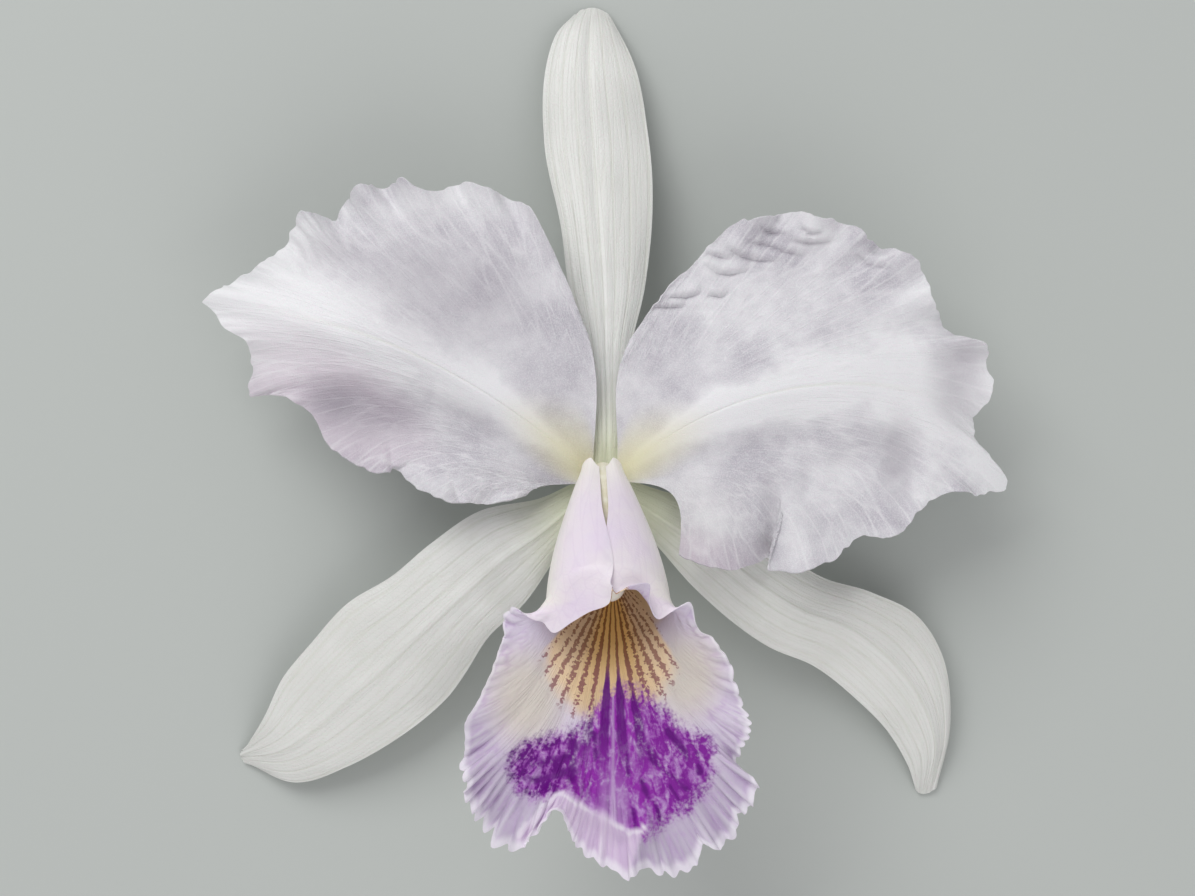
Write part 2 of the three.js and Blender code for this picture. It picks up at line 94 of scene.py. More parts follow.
def lumps(u, v, seed):
    """Smooth random relief from -1 to 1, with one lump for about each whole step of u and v."""
    heights = np.random.default_rng(seed).uniform(-1, 1, (NOISE_CELLS, NOISE_CELLS))
    i, j = np.floor(u).astype(int), np.floor(v).astype(int)
    a, b = u - i, v - j
    a, b = a * a * (3 - 2 * a), b * b * (3 - 2 * b)
    near, far = (
        heights[i % NOISE_CELLS, k % NOISE_CELLS] * (1 - a)
        + heights[(i + 1) % NOISE_CELLS, k % NOISE_CELLS] * a
        for k in (j, j + 1)
    )
    return near * (1 - b) + far * b


def raised(form, height):
    """The surface form(r, s), moved by height(r, s) along its own normal."""

    def surface(r, s):
        along_r = form(np.minimum(r + TINY, 1), s) - form(np.maximum(r - TINY, 0), s)
        along_s = form(r, np.minimum(s + TINY, 1)) - form(r, np.maximum(s - TINY, 0))
        normal = np.cross(along_r, along_s)
        normal /= np.linalg.norm(normal, axis=-1, keepdims=True)
        return form(r, s) + normal * height(r, s)[..., None]

    return surface


def leaf(name, surface, rows, columns, marks=None):
    """A flat grid, its points carried to surface(r, s): r along the leaf and s across it.
    Its UV map keeps s and r, and marks(r, s, places) may leave more numbers on the points."""
    bpy.ops.object.select_all(action="DESELECT")
    bpy.ops.mesh.primitive_grid_add(x_subdivisions=columns, y_subdivisions=rows, size=1)
    sheet = bpy.context.object
    sheet.name = sheet.data.name = name
    flat = np.empty(3 * len(sheet.data.vertices))
    sheet.data.vertices.foreach_get("co", flat)
    s, r = np.clip(flat.reshape(-1, 3)[:, :2].T + 0.5, 0, 1)
    places = surface(r, s)
    sheet.data.vertices.foreach_set("co", ((places + BLOOM_AT) * MM).ravel())
    sheet.data.update()
    for key, values in (marks(r, s, places) if marks else {}).items():
        kept = sheet.data.attributes.new(key, "FLOAT", "POINT")
        kept.data.foreach_set("value", values.astype(np.float32))
    return sheet, r, s


def thicken(sheet, thickness, rim, near_rim, inner_slot=0):
    """Gives a leaf its thickness, which falls to the share rim of it where near_rim is 1."""
    full = sheet.vertex_groups.new(name="full")
    shares = np.round(1 - near_rim, 2)
    for share in np.unique(shares):
        full.add(np.flatnonzero(shares == share).tolist(), float(share), "REPLACE")
    wall = sheet.modifiers.new("wall", "SOLIDIFY")
    wall.thickness = thickness * MM
    wall.offset = 0
    wall.vertex_group = full.name
    wall.thickness_vertex_group = rim
    wall.material_offset = inner_slot
    wall.material_offset_rim = inner_slot
    bpy.ops.object.modifier_apply(modifier=wall.name)
    sheet.vertex_groups.clear()
    bpy.ops.object.shade_smooth_by_angle(angle=SMOOTH_LEAF)


class Value:
    """What a material works out for each point. Sums and products of values make the nodes for them."""

    def __init__(self, socket):
        self.socket, self.tree = socket, socket.id_data

    def __add__(self, other):
        return maths("ADD", self, other)

    def __sub__(self, other):
        return maths("SUBTRACT", self, other)

    def __mul__(self, other):
        return maths("MULTIPLY", self, other)


def shader(tree, kind, inputs=None, output=0, **settings):
    """Adds a node and gives one of its outputs. inputs holds numbers, colours or values."""
    made = tree.nodes.new(kind)
    for key, value in settings.items():
        setattr(made, key, value)
    for key, value in (inputs or {}).items():
        if isinstance(value, Value):
            tree.links.new(value.socket, made.inputs[key])
        else:
            made.inputs[key].default_value = value
    return Value(made.outputs[output])


def outputs_of(node):
    return {socket.name: Value(socket) for socket in node.outputs}


def join(value, socket):
    """Brings a value to the socket that uses it."""
    value.tree.links.new(value.socket, socket)


def maths(operation, *values):
    return shader(values[0].tree, "ShaderNodeMath", dict(enumerate(values)), operation=operation)


def noise(place, scale, detail):
    """A smooth random value from 0 to 1 that changes with place."""
    inputs = {"Vector": place, "Scale": scale, "Detail": detail}
    return shader(place.tree, "ShaderNodeTexNoise", inputs)


def point(x, y):
    return shader(x.tree, "ShaderNodeCombineXYZ", {0: x, 1: y})


def own_place(tree):
    """Where a point of the piece lies, in metres."""
    return shader(tree, "ShaderNodeTexCoord", output="Object")


def across_and_along(tree):
    """Where a point of a leaf lies on the leaf's own map, from 0 to 1 both ways."""
    parts = shader(tree, "ShaderNodeSeparateXYZ", {0: shader(tree, "ShaderNodeUVMap")}).socket.node
    return Value(parts.outputs[0]), Value(parts.outputs[1])


def off_middle(across):
    """How far to either side of the leaf's middle a point lies, up to a half."""
    return maths("ABSOLUTE", across - 0.5)


def span(value, low, high, start=0.0, end=1.0):
    """A value carried smoothly from the range low to high to the range start to end."""
    inputs = {"Value": value, "From Min": low, "From Max": high, "To Min": start, "To Max": end}
    return shader(value.tree, "ShaderNodeMapRange", inputs, interpolation_type="SMOOTHSTEP")


def blend(share, first, second):
    """The first colour, passing to the second as share goes from 0 to 1."""
    inputs = {"Factor": share, 6: first, 7: second}
    return shader(share.tree, "ShaderNodeMix", inputs, output=2, data_type="RGBA")


def colour(red, green, blue):
    """A colour given as it looks, from 0 to 255, as the light it throws back."""
    return tuple(((c / 255 + 0.055) / 1.055) ** 2.4 for c in (red, green, blue)) + (1.0,)


def group(name, inputs, outputs):
    """An empty node group: itself, the values it is given and the sockets for what it gives."""
    tree = bpy.data.node_groups.new(name, "ShaderNodeTree")
    for key, default in inputs.items():
        tree.interface.new_socket(key, in_out="INPUT", socket_type="NodeSocketFloat")
        tree.interface.items_tree[key].default_value = default
    for key in outputs:
        tree.interface.new_socket(key, in_out="OUTPUT", socket_type="NodeSocketFloat")
    given = outputs_of(tree.nodes.new("NodeGroupInput"))
    return tree, given, tree.nodes.new("NodeGroupOutput").inputs


def vein_net():
    """Veins that run along the leaf and join here and there: a net of long meshes."""
    tree, given, ends = group(
        "leaf_veins", {"Count": 60.0, "Joins": 6.0, "Width": 0.1, "Wander": 0.4}, ("Veins", "Swell")
    )
    across, along_it = across_and_along(tree)
    across, along_it = across * given["Count"], along_it * given["Joins"]
    wander = (noise(point(across, along_it), 0.8, 2.0) - 0.5) * given["Wander"]
    mesh = shader(
        tree, "ShaderNodeTexVoronoi", {"Vector": point(across + wander, along_it), "Scale": 1.0},
        output="Distance", voronoi_dimensions="2D", feature="DISTANCE_TO_EDGE",
    )
    join(span(mesh, 0.0, given["Width"], 1.0, 0.0), ends["Veins"])
    join(span(mesh, 0.0, 0.4), ends["Swell"])
    return tree


def tissue():
    """The skin of a petal: fine rounded cells that glisten, and broad uneven patches."""
    tree, given, ends = group("leaf_tissue", {"Cells": CELLS, "Patches": 60.0}, ("Cells", "Patches"))
    place = own_place(tree)
    join(noise(place, given["Cells"], 0.0), ends["Cells"])
    join(noise(place, given["Patches"], 3.0), ends["Patches"])
    return tree


VEINS = vein_net()
TISSUE = tissue()


def in_group(tree, group_tree, **inputs):
    """A node group placed in a material, with its own inputs: what it gives, by name."""
    return outputs_of(shader(tree, "ShaderNodeGroup", inputs, node_tree=group_tree).socket.node)


def new_material(name, roughness, sheen=0.0, soft=0.0):
    """A material with its one shader. soft is how much light wanders inside the thin tissue."""
    material = bpy.data.materials.new(name)
    material.use_nodes = True
    tree = material.node_tree
    skin = tree.nodes["Principled BSDF"]
    skin.inputs["Roughness"].default_value = roughness
    skin.inputs["Sheen Weight"].default_value = sheen
    skin.inputs["Subsurface Weight"].default_value = soft
    skin.inputs["Subsurface Radius"].default_value = SOFT_REACH
    skin.inputs["Subsurface Scale"].default_value = SOFT_DEEP * MM
    return material, tree, skin


def bump(skin, depth, height):
    """Relief of a given depth in millimetres."""
    inputs = {"Distance": depth * MM, "Height": height}
    join(shader(height.tree, "ShaderNodeBump", inputs), skin.inputs["Normal"])


SEPAL_WHITE = colour(241, 242, 238)
SEPAL_VEIN = colour(210, 213, 199)
SEPAL_SHADE = colour(230, 231, 226)
# painted shade on the outer part of each sepal
SEPAL_OUTER_SHADE = colour(216, 217, 211)
SEPAL_GREEN = colour(212, 217, 176)
MAIN_VEINS = 2.1  # bands of the wave texture over the width, which gives seven veins
SEPAL_GRID = (170, 52)  # faces along a leaf and across it


def sepal_material():
    material, tree, skin = new_material("sepal_tissue", 0.42, sheen=0.15, soft=0.25)
    across, along_it = across_and_along(tree)
    net = in_group(tree, VEINS, Count=22.0, Joins=5.0, Width=0.12, Wander=0.6)["Veins"]
    surface = in_group(tree, TISSUE, Cells=CELLS, Patches=90.0)
    main = shader(
        tree, "ShaderNodeTexWave",
        {"Vector": point(across, along_it * 0.4), "Scale": MAIN_VEINS, "Distortion": 0.6, "Detail": 1.0},
        output="Fac",
    )
    long_veins = span(main, 0.9, 1.0)
    base = blend(span(surface["Patches"], 0.35, 0.7), SEPAL_SHADE, SEPAL_WHITE)
    # Painted light and shade: darker outwards, so the base, in the petals' shade, looks lighter
    outer_shaded = blend(span(along_it, 0.2, 0.5, 0.0, 0.6), base, SEPAL_OUTER_SHADE)
    netted = blend(net * 0.2, blend(long_veins * 0.35, outer_shaded, SEPAL_VEIN), SEPAL_VEIN)
    green = span(along_it, 0.02, 0.22, 0.7, 0.0)
    join(blend(green, netted, SEPAL_GREEN), skin.inputs["Base Color"])
    bump(skin, 0.12, long_veins * -0.3 + net * -0.25 + surface["Cells"] * 0.5)
    return material


SEPAL = sepal_material()
SEPAL_THICK = 0.8
SEPAL_RIM = 0.5  # the rim's share of the thickness
SEPAL_LINES = {
    "dorsal_sepal": (
        [[-2.8, 1, -1.5], [-3, 10, -2.6], [-3.4, 24, -4.8], [-6.4, 35, -8.6], [-8.1, 48, -12.8],
         [-11.7, 64, -17.4], [-11.9, 77, -19.8], [-9.4, 86.5, -22.4], [-5.8, 90.4, -24.5]],
        [[0.3, 1, -1.5], [0.3, 10, -2.1], [-0.1, 24, -3.7], [-0.6, 35, -6.9], [-1.5, 48, -10.8],
         [-2.6, 64, -15.6], [-3.3, 77, -18.4], [-3.1, 87.5, -21.6], [-2.6, 91.6, -25.08]],
        [[3.4, 1, -1.5], [3.5, 10, -2.6], [4.9, 24, -4.8], [7.5, 35, -8.6], [9, 48, -12.8],
         [8.7, 64, -17.4], [6.6, 77, -19.8], [3, 86.5, -22.4], [0.8, 90.4, -24.5]],
    ),
    "lateral_sepal_left": (
        [[-4.4, -0.9, -3.6], [-12.5, -4.5, -7], [-24, -7.2, -9.4], [-33, -13.2, -11.6],
         [-41, -19.7, -13.6], [-49.5, -25, -15.4], [-57, -32.7, -17.2], [-63, -40.2, -19.2],
         [-66.2, -47.5, -21.2], [-71.2, -54.6, -24.6]],
        [[-3.2, -3.2, -3.4], [-10.8, -10, -5.4], [-19.5, -16.2, -7.6], [-28, -23.6, -9.8],
         [-35.5, -30.6, -11.8], [-43, -37.4, -13.8], [-50.3, -43.8, -15.8], [-57, -49.8, -18],
         [-63.5, -54, -20.6], [-71.6, -55.8, -25]],
        [[-0.9, -4.4, -3.6], [-9.4, -16, -7], [-15.6, -24.6, -9.4], [-22.4, -31, -11.6],
         [-26.6, -38, -13.6], [-31, -44, -15.4], [-39.6, -50.7, -17.2], [-50, -56.8, -19.2],
         [-60.4, -60.4, -21.8], [-70.6, -57.2, -24.6]],
    ),
    "lateral_sepal_right": (
        [[0.9, -4.4, -3.6], [9.8, -13.5, -7], [17.2, -21.6, -9.4], [24.3, -28, -11.6],
         [31.8, -33.2, -13.6], [40.2, -36.8, -15.4], [48.2, -42.9, -17.2], [55, -50, -19.4],
         [59.4, -57, -22], [61.4, -62.4, -24.6]],
        [[3.2, -3.2, -3.4], [12.6, -9.5, -5.4], [22, -15.4, -7.6], [30, -21.6, -9.8],
         [37.6, -26.2, -11.8], [46.6, -29.8, -13.8], [54.8, -36, -15.8], [61, -44, -18],
         [64.2, -53, -20.6], [63.2, -63, -25]],
        [[4.4, -0.9, -3.6], [15.2, -4.8, -7], [26.6, -9.6, -9.4], [35.4, -16, -11.6],
         [42.4, -20, -13.6], [51.3, -23, -15.4], [60.2, -27.4, -17.2], [65.8, -36, -19.2],
         [67.2, -49, -21.4], [65.4, -61.8, -24.6]],
    ),
}
KEEL_DEPTH, KEEL_WIDE = 0.35, 0.09  # of the groove along the middle
EDGE_WAVE = 0.5  # height of the slow waves of the edges
SEPAL_CREASES = (0.1, 0.03)  # height of the broad and the fine ones


def sepal(name, lines, seed):
    left, keel, right = (smooth_line(line) for line in lines)

    def form(r, s):
        w = (2 * s - 1)[..., None]
        a, b, c = left(r), keel(r), right(r)
        return b + (c - a) * w / 2 + ((a + c) / 2 - b) * w * w

    def relief(r, s):
        w = 2 * s - 1
        groove = KEEL_DEPTH * np.exp(-((w / KEEL_WIDE) ** 2)) * ease(0, 0.1, r) * (1 - ease(0.8, 1, r))
        waves = EDGE_WAVE * ease(0.5, 1, np.abs(w)) * lumps(9 * r, w + 2, seed) * ease(0, 0.1, r)
        broad, fine = SEPAL_CREASES
        creases = broad * lumps(9 * s, 7 * r, seed + 1) + fine * lumps(50 * s, 18 * r, seed + 2)
        return groove + waves + creases

    piece, r, s = leaf(name + "_leaf", raised(form, relief), *SEPAL_GRID)
    piece.data.materials.append(SEPAL)
    thin = np.maximum(ease(0.7, 1, np.abs(2 * s - 1)), 1 - ease(0.03, 0.09, r))
    thicken(piece, SEPAL_THICK, SEPAL_RIM, thin)
    return piece


for seed, (node, lines) in enumerate(SEPAL_LINES.items()):
    piece = sepal(node, lines, 10 * seed + 1)
    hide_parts(node)
    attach(piece, "root")


# Petals
# Two broad leaves, each on a narrow claw, of thin white tissue with a faint lilac tinge. Their veins
# fan out from the claw, with a pale midrib among them, and the tissue crinkles between the veins.

SEAT_RADIUS = 3.6  # where the claws start, round the foot of the column
PETAL_SEAT = -0.9  # and how high
PETAL_GRID = (112, 380)  # faces along a leaf and across it
PETAL_THICK = 0.6
PETAL_RIM = 0.45  # the rim's share of the thickness
PETAL_WAVES = 15
PETAL_WAVE_HIGH = 0.35
PETAL_TEETH = 0.006  # how far they stand out, as a share of the leaf's length
PETAL_FRILL = (0.4, 0.25)  # height of the coarse and the fine frill
PETAL_FOLDS = (0.25, 0.12, 0.07, 0.04)  # and of folds and creases, from the broadest on
LOBE_POWER = np.array([7, 7, 14])  # how late the rim's lobes set in, sideways and upwards
LAP_HALF = 1.1  # from the middle of the lap to the ridge on one side and the valley on the other
LAP_REACH = 1.4  # how far either of them spreads
LAP_PULL = (2.2, 0.9, 1.3)  # how far the ridge and the valley move sideways, and both up or down
WRINKLES_APART = 2.4
LEDGE_HIGH = 0.7
LEDGE_AT, LEDGE_WIDE = 1.1, 0.9  # its ridge, from its valley
VALLEY_WIDE = 0.5
VALLEY_PAINTED_SHADE = 0.5  # how much painted shade lies in it
MIDRIB_DEEP, MIDRIB_WIDE = 0.15, 0.008
HOLLOW_DEEP = 1.5  # of the trough beside the midrib
DENT = 1.3  # depth of the dents under painted shade, and height of the swells under painted light
GRAIN_SCALE = 4200.0
MOTTLE_SCALE = 420.0

# Each petal's veins start at the degrees of "claw", round the column, and run to the smooth rim "form".
# "leave" and "arrive" are the degrees by which they turn from the straight way at either end, "rise" and
# "fall" their slopes there, and "hold" is how long they keep to them. "over" and "under" are the two
# halves of the real rim, with its lobes. The rest is relief: "crumple" is the middle, half width, half
# length, lean and height of a patch of wrinkles, and "painted_shades" are ovals of painted shade, each
# with its darkness; below 0 that is painted light. The petal is dented under them, and swells under the
# light.
LEFT_PETAL = {
    "claw": (128, 164, 200),
    "leave": (-8, -6, -8, -12, -17, -14, -8, -3, 3),
    "arrive": (18, 2, -8, 0, 16, 30, 40, 42, 34),
    "hold": (0.4, 0.38, 0.36, 0.36, 0.36),
    "rise": (0.1, 0.3, 0.1),
    "fall": (0, 0.15, 0.34, 0.15, 0),
    "crumple": (-54, 44.7, 8, 9, -65, 0.3),
    "ledges": (),
    "painted_shades": ((-45.5, 11.5, 9, 4.5, 1.0), (-52.5, 14.5, 6, 3.5, 0.7), (-28, 32.7, 14, 10, 0.7),
               (-60.4, 27, 8, 6, -0.4), (-32, 9, 9, 4, 0.4), (-42, 39, 9, 5, 0.3), (-33, 50, 8, 3, -0.4),
               (-52, 42, 6, 3.5, 0.6)),
    "lap": None,
    "creases": ((-39.6, 0.5, -41, 7.5, 0.8, 0.8), (-27, -4.5, -30, 1, 0.5, 0.6),
                (-52, 47, -47.5, 41, 0.9, 1.6), (-60.5, 44, -56, 39, 0.7, 1.2)),
    "form": [[-4.4, 29, 1], [-18, 50.5, 0], [-40, 54.2, -3], [-59, 47, -5], [-71.5, 33, -6],
             [-66, 17.5, -6.5], [-50.5, 5.5, -4], [-33.5, -2.8, -1.5], [-15, -3.9, -0.6]],
    "over": [[-4.4, 29, 0], [-8.4, 38.5, 1], [-13.9, 49.2, 2.5], [-18.1, 51.5, -0.5],
             [-23.6, 54.3, 2.5], [-28.1, 54.3, -1], [-33.7, 53.3, 2], [-37.7, 55.2, 4],
             [-41.5, 53.6, 0], [-46.2, 54.3, 3], [-49, 51.6, -2], [-51.6, 48.6, -2.5],
             [-57, 49.6, 4], [-59.6, 46, 0], [-61.6, 42, -1.5], [-65.7, 39.5, 2.5],
             [-71.4, 35.6, -1], [-74.6, 34.4, 0], [-75.2, 32.7, -0.5]],
    "under": [[-75.2, 32.7, -0.5], [-74.4, 30.4, 0], [-71.8, 27.6, 0], [-68, 25, 1], [-66.8, 21, -1],
              [-67.4, 15.6, -3], [-61.5, 15.2, 0], [-55.7, 11.7, 1], [-50.7, 5, 2.5],
              [-46.5, 1.6, 3.5], [-42, 0.4, 4], [-39.4, 1, 0], [-36.4, -1, 2.5],
              [-32.8, -3.4, 4], [-27.7, -4.9, 2.5], [-22.6, -5.6, 0], [-18.4, -5, 2],
              [-15, -3.9, 0]],
}
RIGHT_PETAL = {
    "claw": (49, 14, -22),
    "leave": (5, 8, 14, 24, 34, 34, 34, 40, 51),
    "arrive": (-22, -6, 4, -10, -34, -44, -46, -48, -45),
    "hold": (0.4, 0.38, 0.36, 0.4, 0.62),
    "rise": (0.1, 0.3, 0.12),
    "fall": (0, 0.15, 0.34, 0.18, 0.1),
    "crumple": (26, 36, 20, 12, -6, 0.08),
    "ledges": (
        ((18.4, 39.4), (21, 37.6), (23.6, 37.3), (27, 38.3)), ((18.8, 41.4), (23.4, 40)),
        ((21.4, 43.2), (25.3, 40.8), (28.7, 39.9), (32.6, 39.9)),
        ((26.2, 43.7), (30.5, 42.9), (33, 41.8), (37.6, 40.6)),
        ((28.5, 46.6), (31.3, 45.2), (35.2, 44.7)), ((36.2, 46.3), (38.2, 45.2), (40.4, 45.2)),
        ((10.4, 33), (15, 33), (18, 33.9)), ((8.6, 31.4), (14.8, 31.2)), ((19.2, 33.6), (22.4, 33)),
        ((33, 44), (38, 43.3), (43, 43.8)), ((47, 41.5), (50, 39), (54, 38.6)),
    ),
    "painted_shades": ((55.6, 3, 3.6, 6, 0.8), (31.4, -8, 2.2, 7, 0.5), (67, 19, 4.5, 8, 0.8),
               (45.8, 0.9, 5, 6, -0.4), (21.5, -6.5, 6, 6, -0.4), (36, -11, 3, 5, -0.4),
               (60, -1, 3, 5, -0.4)),
    "lap": (31.2, -17, 33.6, 1),
    "creases": ((45, 1.5, 56, 7.5, 1.1, 3.2), (59.5, 36, 54, 33, 0.5, 0.7),
                (66, 27, 60, 25, 0.5, 0.7), (38, -3, 41, 6, 0.6, 1.8), (58, -4, 59, 3, 0.6, 1.5)),
    "form": [[4.8, 25.4, 1], [22.8, 45, 0.5], [47, 45.6, -1.5], [64.5, 31, -3], [72.5, 11, -4.5],
             [69.5, -3.8, -5], [51.5, -12, -3.5], [32.4, -17, -1], [13.8, -14.6, 0]],
    "over": [[4.8, 25.4, 0], [11.1, 34.6, 0.8], [17.6, 40.4, 0], [23.6, 46.6, 1.5],
             [28.4, 47.8, 3.5], [33.4, 48.9, 0], [39.2, 48.6, 4], [44.4, 46.9, 2], [48, 45.4, 3.5],
             [51, 42.6, -0.5], [57, 41, 4], [59.8, 37.8, 1], [61.4, 34, 3], [63.4, 29.4, -0.5],
             [66.6, 26.2, 3], [70.8, 24.4, 5], [72, 20.6, 2], [73, 16, 2.5], [69.6, 10.8, -1]],
    "under": [[69.6, 10.8, -1], [70, 7, 0], [73, 3.2, 0], [76.6, -1.8, -2.5], [71.4, -3.8, -1],
              [66.2, -3, 3], [60.4, -5.2, 1], [57, -9, 3], [53.8, -11.7, 4], [49, -11.2, 0],
              [45.4, -13.4, 2], [41.4, -16.6, 4], [36, -17.8, 5], [31.8, -17.4, 4.5],
              [31.4, -15.4, 1.5], [31.4, -15.8, -2.2], [27.4, -17, -1], [22.6, -17.5, 1.5],
              [18, -16.8, 3], [13.8, -14.6, 2.5]],
}


def along(values, share):
    """The value at a share of the way along an evenly spaced list, on a smooth curve through it."""
    values = np.array(values, float)
    last = len(values) - 1
    i = np.clip((share * last).astype(int), 0, last - 1)
    t = share * last - i
    a, b = values[np.maximum(i - 1, 0)], values[i]
    c, d = values[i + 1], values[np.minimum(i + 2, last)]
    return b + 0.5 * t * (c - a + t * (2 * a - 5 * b + 4 * c - d + t * (3 * (b - c) + d - a)))


def heading(degrees, slope):
    angle = np.radians(degrees)
    return np.stack([np.cos(angle), np.sin(angle), slope + 0 * angle], axis=-1)


def bend(start, leave, arrive, end, t):
    """A point of the curve from start to end whose two handles are leave and arrive."""
    t = t[..., None]
    k = 1 - t
    return k**3 * start + 3 * k * k * t * leave + 3 * k * t * t * arrive + t**3 * end


def rim_at(first, second, s):
    """A rim of two lines: the first for s up to a half, and the second from there."""
    early = first(np.clip(2 * s, 0, 1))
    late = second(np.clip(2 * s - 1, 0, 1))
    return np.where((s < 0.5)[..., None], early, late)


def petal_form(shape):
    smooth_rim = smooth_line(shape["form"])
    over, under = even_line(shape["over"]), even_line(shape["under"])

    def vein(r, s):
        start = heading(along(shape["claw"], s), 0) * SEAT_RADIUS
        start[..., 2] = PETAL_SEAT
        end = smooth_rim(s)
        way = end - start
        held = (np.linalg.norm(way, axis=-1) * along(shape["hold"], s))[..., None]
        straight = np.degrees(np.arctan2(way[..., 1], way[..., 0]))
        leave = start + held * heading(straight + along(shape["leave"], s), along(shape["rise"], s))
        arrive = end - held * heading(straight + along(shape["arrive"], s), -along(shape["fall"], s))
        lobe = rim_at(over, under, s) - end * [1, 1, 0]
        return bend(start, leave, arrive, end, r) + lobe * r[..., None] ** LOBE_POWER

    return vein


def patch(places, x, y, wide, high, soft):
    """1 inside an oval and 0 outside it, seen from above, with a soft edge."""
    across, up = (places[..., 0] - x) / wide, (places[..., 1] - y) / high
    return 1 - ease(1 - soft, 1 + soft, np.sqrt(across * across + up * up))


def beside_line(places, start, end):
    """For each place, seen from above: the share of a straight line at which the line is nearest,
    and the way from there to the place."""
    way, off = np.subtract(end, start), places[:, :2] - start
    share = np.clip(off @ way / (way @ way), 0, 1)
    return share, off - share[:, None] * way


def lapped(places, x, y, to_x, to_y):
    """Folds the petal over itself along a line: its right side laps over its left, most at the rim."""
    length = math.hypot(to_x - x, to_y - y)
    up = np.array([to_x - x, to_y - y]) / length
    off = places[..., :2] - (x, y)
    beside = off @ (up[1], -up[0])
    most = 1 - ease(0, length, off @ up)
    over, under = (np.exp(-(((beside - side * LAP_HALF) / LAP_REACH) ** 2)) * most for side in (1, -1))
    pull_over, pull_under, lift = LAP_PULL
    moved = [pull_under * under - pull_over * over, 0 * over, lift * over - lift * under]
    return places + np.stack(moved, axis=-1)


def petal(name, shape, material, seed):
    flat = petal_form(shape)
    up = -np.sign(shape["form"][4][0])  # the left petal's normals look up, and the right one's down

    def vein(r, s):
        return lapped(flat(r, s), *shape["lap"]) if shape["lap"] else flat(r, s)

    def toothed(r, s):
        teeth = PETAL_TEETH * lumps(150 * s, r, seed) + PETAL_TEETH * lumps(60 * s, r, seed + 1)
        return vein(r * (1 + teeth * ease(0.9, 1, r)), s)

    x, y, wide, long, lean, high = shape["crumple"]
    run = np.array([math.cos(math.radians(lean)), math.sin(math.radians(lean))])

    def crumple(places):
        """Wavy wrinkles that lie side by side in one patch of the petal."""
        off = places[..., :2] - (x, y)
        with_run, over_run = off @ run, off @ (-run[1], run[0])
        share = 1 - ease(0.5, 1.1, np.sqrt((with_run / wide) ** 2 + (over_run / long) ** 2))
        warp = 0.4 * lumps(with_run / 5 + 9, over_run / 6 + 9, seed + 7)
        uneven = 0.6 + 0.6 * lumps(with_run / 4 + 30, over_run / 3 + 30, seed + 9)
        return high * share * uneven * np.sin(2 * np.pi * (over_run / WRINKLES_APART + warp))

    def creased(places):
        """Valleys along short lines, each deepest at its first end: (x, y, to x, to y, depth, width)."""
        total = np.zeros(len(places))
        for x, y, to_x, to_y, depth, wide in shape["creases"]:
            share, gap = beside_line(places, (x, y), (to_x, to_y))
            away = np.linalg.norm(gap, axis=1)
            total += depth * (1 - share) * np.exp(-((away / wide) ** 2))
        return total

    def ledged(places):
        """Folds along lines: each is a soft ridge over a sharp valley, and fades towards its ends."""
        ridges, valleys = np.zeros(len(places)), np.zeros(len(places))
        for line in shape["ledges"]:
            corners = np.array(line, float)
            nearest = np.full(len(places), np.inf)
            over, at = np.zeros(len(places)), np.zeros(len(places))
            for i, (a, b) in enumerate(zip(corners[:-1], corners[1:])):
                share, gap = beside_line(places, a, b)
                away = np.linalg.norm(gap, axis=1)
                side = np.sign((b - a)[0] * gap[:, 1] - (b - a)[1] * gap[:, 0])
                closer = away < nearest
                nearest = np.where(closer, away, nearest)
                over = np.where(closer, away * side, over)
                at = np.where(closer, (i + share) / (len(corners) - 1), at)
            fade = np.sqrt(np.sin(np.pi * at))
            ridges += fade * np.exp(-(((over - LEDGE_AT) / LEDGE_WIDE) ** 2))
            valleys += fade * np.exp(-((over / VALLEY_WIDE) ** 2))
        return ridges, valleys

    # Painted shade: dark ovals and the ledges' valleys, and painted light where an oval's amount is below
    # 0
    def shade(places):
        spots = sum(amount * patch(places, *oval, 0.9) for *oval, amount in shape["painted_shades"])
        return spots + VALLEY_PAINTED_SHADE * ledged(places)[1]

    def relief(r, s):
        at_ends = ease(0, 0.15, s) * (1 - ease(0.85, 1, s))
        main = PETAL_WAVE_HIGH * ease(0.84, 1, r) * np.sin(2 * np.pi * PETAL_WAVES * s)
        frill = PETAL_FRILL[0] * ease(0.86, 1, r) * lumps(58 * s, 2 * r, seed + 2)
        fine = PETAL_FRILL[1] * ease(0.93, 1, r) * lumps(150 * s, 3 * r, seed + 3)
        a, b, c, d = PETAL_FOLDS
        folds = a * lumps(9 * s, 2.6 * r, seed + 4) + b * lumps(22 * s, 6 * r, seed + 8)
        creases = c * lumps(56 * s, 16 * r, seed + 5) + d * lumps(110 * s, 34 * r, seed + 6)
        hollow = ease(0.5, 0.68, s) * (1 - ease(0.68, 0.9, s))
        hollow *= ease(0.15, 0.5, r) * (1 - ease(0.75, 0.98, r))
        rib = np.exp(-(((s - 0.5) / MIDRIB_WIDE) ** 2)) * (1 - ease(0.5, 0.95, r)) * ease(0.05, 0.3, r)
        midrib = -HOLLOW_DEEP * hollow - MIDRIB_DEEP * rib
        calm = at_ends + (1 - at_ends) * ease(0.5, 0.9, r)
        tissue_relief = calm * (folds * ease(0.2, 0.6, r) + creases * ease(0.15, 0.7, r))
        places = vein(r, s)
        local = crumple(places) + LEDGE_HIGH * ledged(places)[0] - creased(places) - DENT * shade(places)
        return up * ((main + frill + fine) * at_ends + tissue_relief + midrib + local)

    def marks(r, s, places):
        # the painted shade and light, kept on the points for the material
        return {"shade": shade(places)}

    piece, r, s = leaf(name + "_leaf", raised(toothed, relief), *PETAL_GRID, marks)
    piece.data.materials.append(material)
    thicken(piece, PETAL_THICK, PETAL_RIM, ease(0.8, 1, r))
    return piece


PETAL_WHITE = colour(235, 235, 236)
